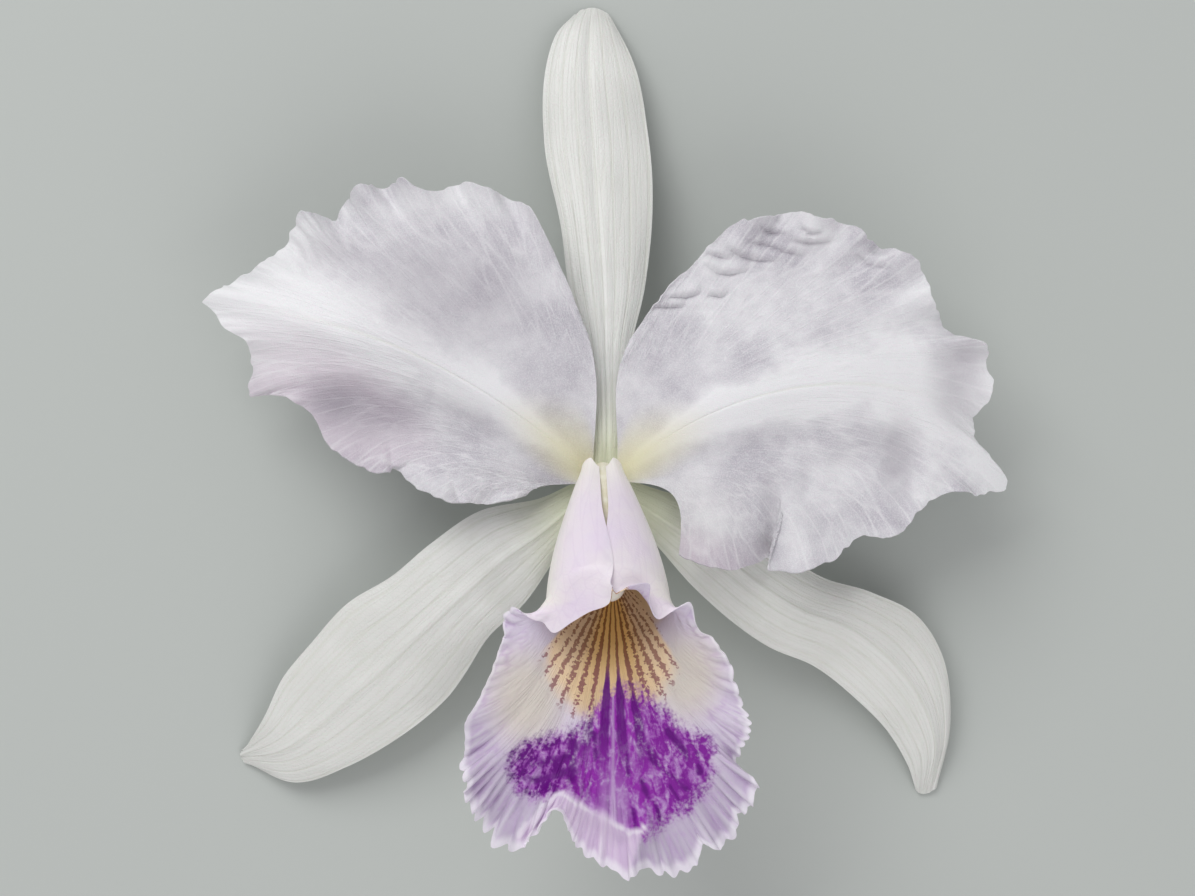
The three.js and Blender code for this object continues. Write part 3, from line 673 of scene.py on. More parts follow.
# a lilac tinge, made greyer as painted shade
PETAL_TINGE_AND_SHADE = colour(189, 186, 193)
PETAL_VEIN = colour(240, 240, 240)
PETAL_CLAW = colour(230, 226, 186)
PETAL_PINK = colour(200, 182, 196)
PETAL_RIB = colour(230, 232, 224)
PETAL_PAINTED_SHADE = colour(150, 144, 153)


def mark(tree, name):
    """What was left on the leaf's points under that name."""
    return shader(tree, "ShaderNodeAttribute", output="Fac", attribute_name=name)


def petal_material(name, blush_across, blush_along):
    """blush is where the petal has its pinker patch, on its own map."""
    material, tree, skin = new_material(name, 0.5, sheen=0.2, soft=0.25)
    across, along_it = across_and_along(tree)
    broad = in_group(tree, VEINS, Count=54.0, Joins=3.5, Width=0.12, Wander=0.7)["Veins"]
    fine = in_group(tree, VEINS, Count=120.0, Joins=5.0, Width=0.2, Wander=0.9)["Veins"]
    patches = in_group(tree, TISSUE, Cells=CELLS, Patches=70.0)["Patches"]
    place = own_place(tree)
    grain = noise(place, GRAIN_SCALE, 1.0)
    mottle = noise(place, MOTTLE_SCALE, 4.0)

    # White along the midrib, and away from it a lilac tinge, deepened into painted shade. Fine white
    # specks all over are painted glints of the glistening tissue
    rib = off_middle(across)
    tinge = span(patches, 0.3, 0.7, 0.3, 1.1) - span(rib, 0.0, 0.19, 1.15, 0.0)
    base = blend(tinge + span(mottle, 0.3, 0.7, -0.1, 0.1), PETAL_WHITE, PETAL_TINGE_AND_SHADE)
    grained = blend(span(grain, 0.4, 0.7, 0.0, 0.35), base, PETAL_VEIN)

    # One pinker patch, with painted shade on the dents and painted light on the swells
    aside = maths("POWER", (across - blush_across) * 5.0, 2.0)
    beyond = maths("POWER", (along_it - blush_along) * 3.0, 2.0)
    pink = blend(span(aside + beyond, 0.0, 1.0, 0.5, 0.0), grained, PETAL_PINK)
    # painted shade, and painted light where it is below 0
    shade = mark(tree, "shade")
    painted_dark = blend(maths("MAXIMUM", shade, 0.0) * 0.6, pink, PETAL_PAINTED_SHADE)
    painted_light = blend(maths("MINIMUM", shade, 0.0) * -0.7, painted_dark, PETAL_VEIN)

    # Veins, the midrib and the yellow claw
    outward = span(along_it, 0.2, 0.7)
    shown = span(patches, 0.35, 0.6, 0.5, 1.0) * span(shade, 0.0, 0.8, 1.0, 0.4)
    veined = blend((broad * 0.32 + fine * 0.14) * outward * shown, painted_light, PETAL_VEIN)
    on_rib = span(rib, 0.002, 0.01, 0.6, 0.0) * span(along_it, 0.5, 0.95, 1.0, 0.0)
    ribbed = blend(on_rib, veined, PETAL_RIB)
    claw = span(along_it + rib * 0.2, 0.0, 0.31, 0.9, 0.0)
    join(blend(claw, ribbed, PETAL_CLAW), skin.inputs["Base Color"])
    bump(skin, 0.12, broad * 0.3 * outward + fine * 0.2 * outward + grain * 0.7)
    return material


PETALS = {
    "petal_left": (LEFT_PETAL, 0.68, 0.86),
    "petal_right": (RIGHT_PETAL, 1.06, 1.05),
}
for seed, (node, (shape, blush_across, blush_along)) in enumerate(PETALS.items()):
    material = petal_material(node + "_tissue", blush_across, blush_along)
    piece = petal(node, shape, material, 20 * seed + 100)
    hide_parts(node)
    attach(piece, "root")


# Lip
# One leaf of lilac white tissue, with a tan, striped throat and a violet blotch inside. Its side lobes
# roll up over the column into a tube, open along a seam, and its front lobe spreads as a crisped skirt.

TUBE_FROM = np.array([-0.5, -0.2, 2.5])
TUBE_TO = np.array([0.5, -22, 21])
TUBE_RADII = (3.6, 5.5, 7.3, 8.9, 10.1, 10.8)
ROLL_EVEN = 0.45  # the share of the roll that is even; the rest comes close to the seam
MOUTH = 0.36  # where the tube ends, as a share of the leaf's length
SEAM_GAP = 0.6
SEAM_LAP = 0.9  # how far the lobes lap at the mouth
SEAM_LIFT = 0.11  # how far one lobe is raised and the other lowered where they lap
LOBE_BACK = 2.0  # how far the side lobes reach back at the tube's foot
LOBE_CORNER = 2.6  # and how far their corners there are rounded off
SKIRT_MIDDLE = np.array([0.5, -40, 17])
SKIRT_HOLD = 0.36  # how long the curves from the mouth to the rim keep their first direction
LIP_FORM = [
    [0.6, -18.6, 33], [-8.6, -24.7, 26.5], [-17.6, -26.4, 23.4], [-22.5, -39.4, 22], [-25, -51, 19],
    [-21.8, -60, 16], [-14, -65, 15], [-5.5, -67.5, 13.5], [4, -71.5, 12.5], [13.5, -70.5, 13],
    [21, -66, 14], [25.6, -58, 16], [25.2, -48.5, 18.5], [22.6, -37, 21], [17.2, -27, 24],
    [8.8, -22.4, 28], [1.9, -20.2, 32],
]
LIP_LEFT = [
    [1.2, -18.8, 0], [0.6, -22, 0], [-2.9, -23.7, -0.5], [-5.8, -25.6, -1], [-9.2, -27.6, -1.5],
    [-11, -25.9, -1.5], [-13.8, -24.6, -0.5], [-16.8, -22.8, 1], [-18.2, -24.8, 0],
    [-18.4, -28.6, 0], [-20, -33, 0], [-22, -38.5, 0], [-24.6, -44.4, 1.5], [-24.6, -49, -1],
    [-26, -55, 1.5], [-25.2, -60, 0], [-21.6, -61.4, -2], [-18.6, -65.6, -2], [-14, -65.6, 0],
    [-11.6, -62.2, 2], [-8.8, -59.8, 3.5], [-7, -62.4, 2.5], [-5.4, -66.6, 0.5], [-1, -70, 0],
    [4, -73, 0],
]
LIP_RIGHT = [
    [4, -73, 0], [7.4, -71.4, 1.5], [12, -72.8, 0], [15.6, -71.4, 0], [17, -68.4, 1],
    [17.8, -66.4, 1.5], [19, -67.8, 0.5], [21.4, -68, -1], [24.6, -65.8, -2], [25.6, -60.4, 0],
    [26.8, -55.4, 2.5], [24, -52, -2], [26, -46.8, 1.5], [24, -41, -0.5], [22.6, -36, 1],
    [20, -29.8, 1], [16.4, -26.9, -0.5], [14.6, -22, 2], [11.6, -23.8, 0], [9.2, -25, 0],
    [7.6, -21.8, 1], [7.6, -18.6, 1.5], [4.6, -18.8, 0.5], [3, -19.6, 0], [1.9, -20.2, 0],
]
FOLDED = [  # the outline of the part of the skirt that is folded up at the front, seen from above
    [-11.6, -59.6], [-8, -56.3], [-4.2, -58.6], [0.4, -61.1], [5, -63.7], [7.4, -62.4], [6, -66],
    [5, -70], [4, -76], [-8, -72], [-16, -66], [-11.6, -59.6],
]
FOLD_HIGH = 3.2
FOLD_NEAR = 4.5  # how far outside the fold the skirt starts to rise to it
FOLD_SINK = 0.55  # the share of its height that the fold loses again inside its outline
LIP_GRID = (74, 640)  # faces along the leaf and across it
LIP_WAVES = 30
LIP_WAVE_HIGH = 0.33
SCALLOPS = 74
LIP_TEETH = (0.022, 0.008, 0.026)  # scallops, fine teeth and odd ones, as shares of the length
LIP_CRISP = 0.85  # how strongly the scallops bend up and down
LIP_FINE = (0.35, 0.15)  # height of the finest frill, and how much more it is at the front
LIP_PLEAT = 0.12
LIP_QUILT = 0.25
LIP_LOBE_POWER = 5
LIP_THICK = 0.5
LIP_RIM = 0.35  # the rim's share of the thickness
SIDE = np.array([1.0, 0, 0])
RUN = (TUBE_TO - TUBE_FROM) / np.linalg.norm(TUBE_TO - TUBE_FROM)
ABOVE = np.cross(RUN, SIDE) / np.linalg.norm(np.cross(RUN, SIDE))


def unit(way):
    return way / np.linalg.norm(way, axis=-1, keepdims=True)


def tube(t, w):
    """The rolled part: t along it, and w from one edge of the seam (-1) round to the other (1)."""
    up = np.abs(w)
    closed = ease(0.4, 1.05, t)
    radius = along(TUBE_RADII, t) - SEAM_LIFT * ease(0.05, 0.35, t) * ease(0.8, 1, up) * np.sign(w)
    past = (SEAM_LAP * closed - SEAM_GAP * (1 - closed)) / (np.pi * radius)
    turn = np.pi * (ROLL_EVEN * up + (1 - ROLL_EVEN + past) * up**4) * np.sign(w)
    corner = (LOBE_CORNER * ease(0.93, 1, up) - LOBE_BACK * ease(0.5, 0.93, up)) * (1 - t) ** 2
    middle = TUBE_FROM + (TUBE_TO - TUBE_FROM) * t[..., None] + RUN * corner[..., None]
    return middle + radius[..., None] * (np.sin(turn)[..., None] * SIDE - np.cos(turn)[..., None] * ABOVE)


def within(places, outline):
    """How far inside a closed outline each place lies, seen from above. Outside, it is negative."""
    corners = smooth_line(outline)(np.linspace(0, 1, LINE_STEPS))
    x, y = places[:, 0], places[:, 1]
    nearest = np.full(len(places), np.inf)
    inside = np.zeros(len(places), bool)
    for a, b in zip(corners[:-1], corners[1:]):
        nearest = np.minimum(nearest, np.linalg.norm(beside_line(places, a, b)[1], axis=1))
        way = b - a
        crossed = (a[1] > y) != (b[1] > y)
        inside ^= crossed & (x < a[0] + way[0] * (y - a[1]) / (way[1] or 1))
    return np.where(inside, nearest, -nearest)


lip_rim = smooth_line(LIP_FORM)
lip_left, lip_right = even_line(LIP_LEFT), even_line(LIP_RIGHT)


def lip_form(r, s):
    t = np.clip((r - MOUTH) / (1 - MOUTH), 0, 1.1)
    mouth = tube(np.ones_like(r), 2 * s - 1)
    end = lip_rim(s)
    held = SKIRT_HOLD * np.linalg.norm(end - mouth, axis=-1, keepdims=True)
    flare = unit(unit(end - SKIRT_MIDDLE) + unit(end - mouth))
    skirt = bend(mouth, mouth + held * RUN, end - held * flare, end, t)
    lobe = rim_at(lip_left, lip_right, s) - end * [1, 1, 0]
    skirt = skirt + lobe * (t**LIP_LOBE_POWER)[..., None]
    past_fold = within(skirt, FOLDED)
    risen = ease(-FOLD_NEAR, 0, past_fold) ** 2 * (1 - FOLD_SINK * ease(0, FOLD_NEAR, past_fold))
    skirt[..., 2] += FOLD_HIGH * risen * ease(0.55, 0.75, t)
    return np.where((r < MOUTH)[..., None], tube(np.clip(r / MOUTH, 0, 1), 2 * s - 1), skirt)


def away_from_seam(s):
    """0 beside the seam, and 1 on the rest of the leaf."""
    return ease(0.06, 0.12, s) * (1 - ease(0.86, 0.92, s))


def scallops(s):
    """The rounded lobes of the rim, from 0 in the notches between them to 1."""
    return np.abs(np.sin(np.pi * (SCALLOPS * s + 1.1 * lumps(15 * s, 0 * s, 301))))


def at_front(s):
    """1 on the front of the skirt, where its rim is calmer."""
    return ease(0.36, 0.42, s) * (1 - ease(0.58, 0.66, s))


def lip_toothed(r, s):
    uneven = 0.6 + 0.6 * lumps(24 * s, 0 * s, 307)
    scallop, fine, odd = LIP_TEETH
    teeth = scallop * (scallops(s) - 0.6) * uneven * (1 - 0.5 * at_front(s))
    teeth += fine * lumps(170 * s, 2 * r, 302)
    teeth += odd * lumps(40 * s, 0 * s, 309) * (1 - at_front(s))
    return lip_form(r * (1 + teeth * away_from_seam(s) * ease(0.88, 1, r)), s)


def lip_frill(r, s):
    main = LIP_WAVE_HIGH * ease(0.84, 1, r) * np.sin(2 * np.pi * LIP_WAVES * s)
    crisp = (scallops(s + 0.004 * lumps(9 * s, 6 * r, 304)) - 0.6) * ease(0.8, 1, r)
    crisp *= 0.8 + 0.8 * lumps(30 * s, 3 * r, 308)
    fine = lumps(180 * s + 3 * r, 3 * r, 303) * (0.7 * ease(0.8, 1, r) + 0.3 * ease(0.66, 0.8, r))
    heights = main + LIP_CRISP * crisp * (1 - 0.7 * at_front(s))
    heights += fine * (LIP_FINE[0] + LIP_FINE[1] * at_front(s))
    return heights * (0.05 + 0.95 * away_from_seam(s))


def lip_relief(r, s):
    pleats = LIP_PLEAT * ease(0.4, 0.7, r) * lumps(64 * s, 5 * r, 305)
    quilt = LIP_QUILT * ease(0.5, 0.7, r) * lumps(26 * s, 11 * r, 306) * away_from_seam(s)
    return lip_frill(r, s) + pleats + quilt


FAN_FROM = (1.4, -18.4)  # the place from which the stripes fan out, seen from above
FAN_STEP = 6.6  # degrees from one stripe to the next
BLOTCH = [  # the outline of the violet blotch, seen from above
    [-17, -50], [-11, -46.7], [-5, -45.3], [-1, -41], [3, -38], [8, -39.8], [13.6, -44.7],
    [18.6, -47.8], [19.4, -53], [15.4, -59.4], [10.4, -62.8], [6, -65], [-3, -62], [-11, -58.5],
    [-16.6, -56], [-17, -50],
]
STREAKS = [  # the darkest veins of the blotch, from one place to another, and how wide they are
    (-5.9, -47.6, -6.2, -54.6, 1.5), (-13, -51.8, -6.4, -50.6, 1.3), (-12, -55, -7.4, -53.4, 1.2),
    (7.4, -48.6, 9.4, -51.8, 1.3), (9.4, -51.8, 14.9, -56.6, 0.9), (11.2, -45.8, 14.8, -50.6, 1.2),
    (6.6, -55, 7.6, -58, 0.9), (8.8, -59, 9.8, -61.8, 0.8), (-4.4, -44.6, -2, -46.6, 0.9),
    (-2, -46.6, -1.6, -51, 0.9), (16.4, -49.6, 17, -53.4, 0.8), (-15, -54, -12, -55, 0.9),
    (11.6, -55.6, 13.4, -58.8, 0.7), (3.6, -48, 4.2, -54, 0.7), (5.2, -60.6, 5.6, -63.4, 0.8),
]
BLOTCH_EDGE = 3.0  # how far from its outline the blotch fades, to either side
THROAT = (0.9, -30.5, 11.6, 13.5)  # an oval: its middle and its half width and height
THROAT_RIGHT = (4.3, -20.0, -0.69)  # a point of the throat's edge, and how fast it moves sideways
THROAT_LEFT = (1.3, -19.2, 1.1)
EYES = ((-14.0, -39.5, 6.2, 8.0), (14.4, -35.5, 5.6, 7.2))  # two more ovals
RIDGE_HIGHLIGHT = 1.5  # a painted highlight along the fold's upper edge, whiter than its face
RIDGE_AT, RIDGE_WIDE = 0.3, 0.5  # inside the outline of the fold
RIDGE_END = -64.5  # and behind this place only


def streaks(places):
    """1 on the darkest veins of the blotch and 0 away from them."""
    most = np.zeros(len(places))
    for x, y, to_x, to_y, wide in STREAKS:
        away = np.linalg.norm(beside_line(places, (x, y), (to_x, to_y))[1], axis=1)
        most = np.maximum(most, 1 - ease(0, 1.5 * wide, away))
    return most


def lip_marks(r, s, places):
    """What the lip's materials need to know of each point: the stripe it lies on, how far from the
    throat it is, and whether it lies in the blotch, the fold, the throat or an eye, or on a crest."""
    aside, down = places[:, 0] - FAN_FROM[0], FAN_FROM[1] - places[:, 1]
    past_fold = within(places, FOLDED)
    # painted highlight along the fold's upper edge
    ridge = RIDGE_HIGHLIGHT * np.exp(-(((past_fold - RIDGE_AT) / RIDGE_WIDE) ** 2)) * (places[:, 1] > RIDGE_END)
    beyond = np.zeros(len(places))
    for side, (x, y, lean) in ((1, THROAT_RIGHT), (-1, THROAT_LEFT)):
        past = side * (places[:, 0] - x - lean * (places[:, 1] - y))
        beyond = np.maximum(beyond, ease(-0.8, 0.8, past))
    return {
        "vein": np.degrees(np.arctan2(aside, np.maximum(down, 0.5))) / FAN_STEP,
        "reach": np.hypot(aside, down),
        "blotch": ease(-BLOTCH_EDGE, BLOTCH_EDGE, within(places, BLOTCH)),
        "folded": ease(-0.25, 0.25, past_fold),
        "streak": streaks(places),
        "throat": patch(places, *THROAT, 0.3) * (1 - beyond),
        "eye": np.max([patch(places, *oval, 0.6) for oval in EYES], axis=0),
        # the frill's height, with the painted highlight of the fold's edge added
        "crest": lip_frill(r, s) + ridge,
    }


LIP_GLOSS = 0.2  # the share of light that the satin inside mirrors
STIPPLE_SCALE = 1700.0
LIP_CREAM = colour(250, 246, 235)
LIP_LILAC = colour(236, 221, 240)
LIP_MARGIN = colour(219, 211, 224)
# partly painted shade and partly a more lilac tone, towards the front of the skirt
LIP_MARGIN_FRONT_SHADE = colour(188, 178, 197)
LIP_MARGIN_VEIN = colour(190, 162, 204)
LIP_WHITE = colour(246, 242, 248)
LIP_EYE = colour(214, 208, 186)
LIP_LINING = colour(232, 206, 158)
LIP_BLUSH = colour(220, 172, 166)
THROAT_TAN = colour(250, 206, 126)
THROAT_CREAM = colour(218, 192, 154)
THROAT_SIDE = colour(238, 212, 176)
THROAT_BROWN = colour(142, 82, 46)
THROAT_RED = colour(134, 70, 84)
VIOLET = colour(148, 42, 168)
VIOLET_DEEP = colour(98, 0, 122)
VIOLET_PALE = colour(186, 144, 202)
VIOLET_MIDLINE = colour(196, 168, 208)
LIP_FOLD = colour(218, 200, 223)


def lip_outside():
    material, tree, skin = new_material("lip_outside", 0.45, sheen=0.15, soft=0.25)
    across, along_it = across_and_along(tree)
    net = in_group(tree, VEINS, Count=70.0, Joins=5.0, Width=0.12, Wander=0.6)
    surface = in_group(tree, TISSUE, Cells=CELLS, Patches=90.0)
    aside = off_middle(across)
    on_top = span(aside, 0.385, 0.47) * span(along_it, -0.1, 0.22)
    flush = maths("MAXIMUM", on_top, span(along_it, 0.55, 0.8))
    base = blend(flush * span(surface["Patches"], 0.2, 0.7, 0.5, 1.0), LIP_CREAM, LIP_LILAC)
    veined = blend(net["Veins"] * 0.08, base, LIP_MARGIN_VEIN)
    rim = span(along_it, 0.965, 0.99) * span(aside, 0.38, 0.41, 1.0, 0.0)
    join(blend(rim, veined, LIP_WHITE), skin.inputs["Base Color"])
    bump(skin, 0.12, net["Swell"] * 0.1 + surface["Cells"] * 0.4)
    return material


def lip_inside():
    material, tree, skin = new_material("lip_inside", 0.5, soft=0.15)
    skin.inputs["Specular IOR Level"].default_value = LIP_GLOSS
    across, along_it = across_and_along(tree)
    fine = in_group(tree, VEINS, Count=150.0, Joins=8.0, Width=0.3, Wander=0.8)
    surface = in_group(tree, TISSUE, Cells=CELLS, Patches=260.0)
    place = own_place(tree)
    stipple = noise(place, STIPPLE_SCALE, 1.0)
    mottle = noise(place, MOTTLE_SCALE, 3.0)
    vein, reach, blotch, throat, crest, eye, darkened, folded = (
        mark(tree, key)
        for key in ("vein", "reach", "blotch", "throat", "crest", "eye", "streak", "folded")
    )
    aside, on_seam = maths("ABSOLUTE", vein), off_middle(across)
    streak = shader(
        tree, "ShaderNodeTexNoise",
        {"Vector": point(vein * 1.3, reach * 0.16), "Scale": 2.0, "Detail": 4.0, "Distortion": 0.8},
    )

    # Margin: lilac white, painted highlights on the frill's crests and painted lilac shade in its hollows
    hollow = span(crest, -0.7, 0.4, 1.0, 0.0)
    # Partly painted shade, partly a more lilac tone: the margin darker towards the skirt's front
    low = blend(span(reach, 31.0, 44.0, 0.0, 0.75), LIP_MARGIN, LIP_MARGIN_FRONT_SHADE)
    margin = blend(hollow * 0.35, low, LIP_MARGIN_VEIN)
    lines = fine["Veins"] * 0.55 * span(along_it, 0.55, 0.85)
    veined = blend(lines * span(mottle, 0.35, 0.65), margin, LIP_MARGIN_VEIN)
    rim = span(along_it, 0.965, 0.99) * span(on_seam, 0.4, 0.43, 1.0, 0.0)
    # the white rim, and painted highlights on the crests of the frill
    white = maths("MAXIMUM", rim * 0.7, span(crest, 0.15, 1.0) * 0.45)
    rimmed = blend(white, veined, LIP_WHITE)

    # Eyes and throat: pale yellow, then tan towards the middle
    eyed = blend(eye * 0.7, rimmed, LIP_EYE)
    middling = blend(span(reach, 8.0, 24.0), THROAT_TAN, THROAT_CREAM)
    golden = blend(span(aside, 1.6, 4.6), middling, THROAT_SIDE)
    deep_in = blend(span(on_seam, 0.4, 0.46), LIP_LINING, LIP_BLUSH)
    edged = blend(span(on_seam, 0.485, 0.496), deep_in, LIP_CREAM)
    lining = blend(span(along_it, 0.3, 0.42, 0.9, 0.0), eyed, edged)
    tanned = blend(span(throat + (mottle - 0.5) * 0.5, 0.1, 0.9), lining, golden)

    # Stripes: thin in the middle of the throat, thick and broken into dots at its sides
    bent = vein + (mottle - 0.5) * 0.3
    band = maths("COSINE", bent * (2 * math.pi)) * -1.0
    ragged = (stipple - 0.5) * span(aside, 0.8, 2.6, 0.8, 5.5)
    thin = span(aside, 0.7, 1.6, 0.45, 0.0) + span(reach, 15.0, 28.0, 0.0, 1.2)
    in_line = band + ragged - (thin + span(aside, 4.4, 6.6, 0.0, 0.9))
    dark = span(in_line, -0.25, 0.35) * span(throat, 0.05, 0.4)
    reddened = blend(span(reach, 9.0, 20.0), THROAT_BROWN, THROAT_RED)
    browned = blend(dark * span(aside, 1.5, 4.5, 0.84, 0.74), tanned, reddened)
    middle = span(aside, 1.0, 1.3, 1.0, 0.0) * span(reach, 15.0, 19.0)
    violet_lines = span(band - span(reach, 16.0, 24.0, 0.5, -0.5), -0.2, 0.3) * middle
    lined = blend(violet_lines * span(reach, 30.0, 35.0, 0.95, 0.0), browned, VIOLET_DEEP)

    # Blotch: violet, mottled along its veins, with a speckled edge and a pale line down its middle
    speckled = (mottle - 0.5) * 1.2 + (stipple - 0.5)
    spread = blotch + speckled + (streak - 0.5)
    share = span(spread, 0.0, 0.95) * span(blotch, 0.0, 0.35)
    tone = streak + (stipple - 0.5) * 0.22
    shade = blend(span(tone, 0.24, 0.6), VIOLET_PALE, VIOLET)
    wings = span(aside, 1.0, 2.6) * span(tone, 0.42, 0.6)
    more_left = span(vein, -2.4, -0.8, 0.95, 0.4)
    upper = span(aside, 1.4, 2.4, 1.0, 0.0) * span(reach, 26.0, 38.0, 0.9, 0.0)
    frayed = darkened + (mottle - 0.5) * 1.6
    darkest = maths("MAXIMUM", span(frayed, 0.3, 1.1, 0.0, 0.95), upper * span(band, -0.6, 0.3))
    deep = blend(maths("MAXIMUM", wings * more_left, darkest), shade, VIOLET_DEEP)
    wider = span(aside, 0.3, 0.8, 0.5, 0.0) * span(reach, 33.0, 42.0)
    parted = blend(span(aside, 0.0, 0.16, 0.6, 0.0) + wider, deep, VIOLET_MIDLINE)
    violet = blend(share, lined, parted)

    # Fold: the skirt's pale outside, with fine pleats, where its front edge is turned up, with painted
    # shade in the hollows and painted highlights on the crests and the upper edge
    pleats = span(fine["Veins"], 0.0, 1.0, 0.0, 0.35)
    turned = blend(maths("MAXIMUM", pleats, hollow * 0.4), LIP_FOLD, LIP_MARGIN_VEIN)
    shown = blend(folded, violet, blend(white, turned, LIP_WHITE))
    join(shown, skin.inputs["Base Color"])
    bump(skin, 0.16, fine["Swell"] * 0.35 + surface["Cells"] * 0.15)
    return material


lip, r, s = leaf("labellum_leaf", raised(lip_toothed, lip_relief), *LIP_GRID, lip_marks)
lip.data.materials.append(lip_outside())
lip.data.materials.append(lip_inside())
near_edge = np.maximum(ease(0.75, 1, r), ease(0.8, 1, np.abs(2 * s - 1)))
thicken(lip, LIP_THICK, LIP_RIM, near_edge, inner_slot=1)
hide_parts("labellum")
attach(lip, "root")


# Column
# The waxy stem in the tube that bears the flower's organs, in one piece with the ovary in life. It
# widens to its tip, has a low wing on either side, and a sticky hollow, the stigma, underneath.

COLUMN_PATH = [
    [-0.3, 0.2, -0.6], [-0.4, 0.3, 1.6], [-0.4, -1.1, 5.7], [-0.3, -3, 8.85], [-0.2, -5.7, 12.5],
    [-0.1, -8.8, 15.2], [0.2, -13.8, 16.9], [0.4, -19.4, 19],
]
COLUMN_GRID = (90, 72)  # faces along the column and round it
COLUMN_BASE = 2.2  # radius at the foot
COLUMN_WIDE = 3.6  # and at the tip
COLUMN_BACK = 0.95  # how high the back is, as a share of the radius
COLUMN_BELLY = 0.75  # and how deep the underside
WING = 0.25  # how far each wing stands out
WING_SHARP = 0.25
STIGMA_AT = 0.84  # as a share of the column's length
STIGMA_BELOW = 2.9
STIGMA_RADIUS = 2.2
SMOOTH_WAX = math.radians(50)  # edges that turn less than this are shaded smooth
WAX_COAT = 0.25


def swept(name, line, outline, rings, sides):
    """A grid rolled into a stalk round a line: outline(t, angle) is its skin beside and above it."""
    at = even_line(line)

    def surface(t, s):
        ahead = at(np.minimum(t + TINY, 1)) - at(np.maximum(t - TINY, 0))
        over = unit(np.cross(unit(ahead), SIDE))
        beside, above = outline(t, 2 * np.pi * s)
        return at(t) + beside[..., None] * SIDE + above[..., None] * over

    piece, _, _ = leaf(name, surface, rings, sides)
    bpy.ops.object.mode_set(mode="EDIT")
    bpy.ops.mesh.select_all(action="SELECT")
    bpy.ops.mesh.remove_doubles(threshold=0.01 * MM)
    bpy.ops.mesh.select_all(action="DESELECT")
    bpy.ops.mesh.select_non_manifold()
    bpy.ops.mesh.fill_holes(sides=0)
    bpy.ops.mesh.select_all(action="SELECT")
    bpy.ops.mesh.normals_make_consistent(inside=False)
    bpy.ops.object.mode_set(mode="OBJECT")
    bpy.ops.object.shade_smooth_by_angle(angle=SMOOTH_WAX)
    return piece


def move_points(piece, move):
    """Carries every point of a finished piece, in millimetres round the bloom's middle."""
    flat = np.empty(3 * len(piece.data.vertices))
    piece.data.vertices.foreach_get("co", flat)
    places = move(flat.reshape(-1, 3) / MM - BLOOM_AT)
    piece.data.vertices.foreach_set("co", ((places + BLOOM_AT) * MM).ravel())
    piece.data.update()


def column_outline(t, angle):
    wide = COLUMN_BASE + (COLUMN_WIDE - COLUMN_BASE) * ease(0.3, 1, t)
    wing = WING * ease(0.4, 0.7, t) * np.exp(-((np.sin(angle) / WING_SHARP) ** 2))
    deep = wide * np.where(np.sin(angle) > 0, COLUMN_BACK, COLUMN_BELLY)
    return (wide + wing) * np.cos(angle), deep * np.sin(angle)


def stigma(places):
    """Pushes the points inside a ball out of it, which leaves a hollow of its shape."""
    at = even_line(COLUMN_PATH)
    here = np.array([STIGMA_AT])
    ahead = unit(at(here + TINY) - at(here - TINY))[0]
    below = unit(np.cross(SIDE, ahead))
    middle = at(here)[0] + STIGMA_BELOW * below
    away = places - middle
    distance = np.linalg.norm(away, axis=1, keepdims=True)
    pushed = middle + away / distance * STIGMA_RADIUS
    return np.where(distance < STIGMA_RADIUS, pushed, places)


WAX_CREAM = colour(243, 240, 222)
WAX_SHADE = colour(226, 219, 190)
WAX_FLUSH = colour(214, 176, 214)


def wax_material(name, light, shade, flush):
    """Smooth waxy tissue, glossier than a petal, faintly flushed in patches."""
    material, tree, skin = new_material(name, 0.3, soft=0.3)
    skin.inputs["Coat Weight"].default_value = WAX_COAT
    surface = in_group(tree, TISSUE, Cells=3500.0, Patches=260.0)
    base = blend(span(surface["Patches"], 0.3, 0.6), shade, light)
    flushed = blend(span(surface["Patches"], 0.6, 0.8, 0.0, 0.5), base, flush)
    join(flushed, skin.inputs["Base Color"])
    bump(skin, 0.05, surface["Cells"] + surface["Patches"])
    return material


WAX = wax_material("column_wax", WAX_CREAM, WAX_SHADE, WAX_FLUSH)
column = swept("column_body", COLUMN_PATH, column_outline, *COLUMN_GRID)
move_points(column, stigma)
column.data.materials.append(WAX)
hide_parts("column")
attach(column, "root")


# Anther
# A thin waxy cap with a furrow down its middle, which sits on the column's tip and lifts off. Under
# it lie four flat yellow masses of pollen on one strap.

CAP_RADIUS = 3.1
CAP_HIGH = 2.6
CAP_WALL = 0.7
CAP_OFF = 0.55  # from the column's cut tip
FURROW, FURROW_WIDE = 0.35, 0.45
BRIM = 0.12
POLLEN_APART = 0.76
POLLEN_SIZE = (0.44, 0.7, 0.6)
POLLEN_ABOVE = 0.1  # the strap's middle
POLLEN_STRAP = (2.6, 0.5, 0.35)
STRAP_ROUND = 0.12


def on_tip(places):
    """Turns what was made on +Z, round the middle, to stand on the column's tip."""
    at = even_line(COLUMN_PATH)
    end = np.array([1.0])
    ahead = unit(at(end) - at(end - TINY))[0]
    over = unit(np.cross(ahead, SIDE))
    beside = np.cross(over, ahead)
    turned = places @ np.array([beside, over, ahead])
    return turned + at(end)[0] + CAP_OFF * ahead


def made_on_tip(piece, name):
    piece.name = piece.data.name = name
    move_points(piece, lambda places: on_tip(places + BLOOM_AT))
    bpy.ops.object.shade_smooth_by_angle(angle=SMOOTH_WAX)


def cap_shape(places):
    x, y, z = (places + BLOOM_AT).T
    furrow = FURROW * np.exp(-((x / FURROW_WIDE) ** 2)) * ease(0.2, 0.6, z)
    wider = 1 + BRIM * (1 - ease(0, 0.3, z)) / (np.hypot(x, y) + 1e-6)
    return np.stack([x * wider, y * wider, z - furrow], axis=1) - BLOOM_AT


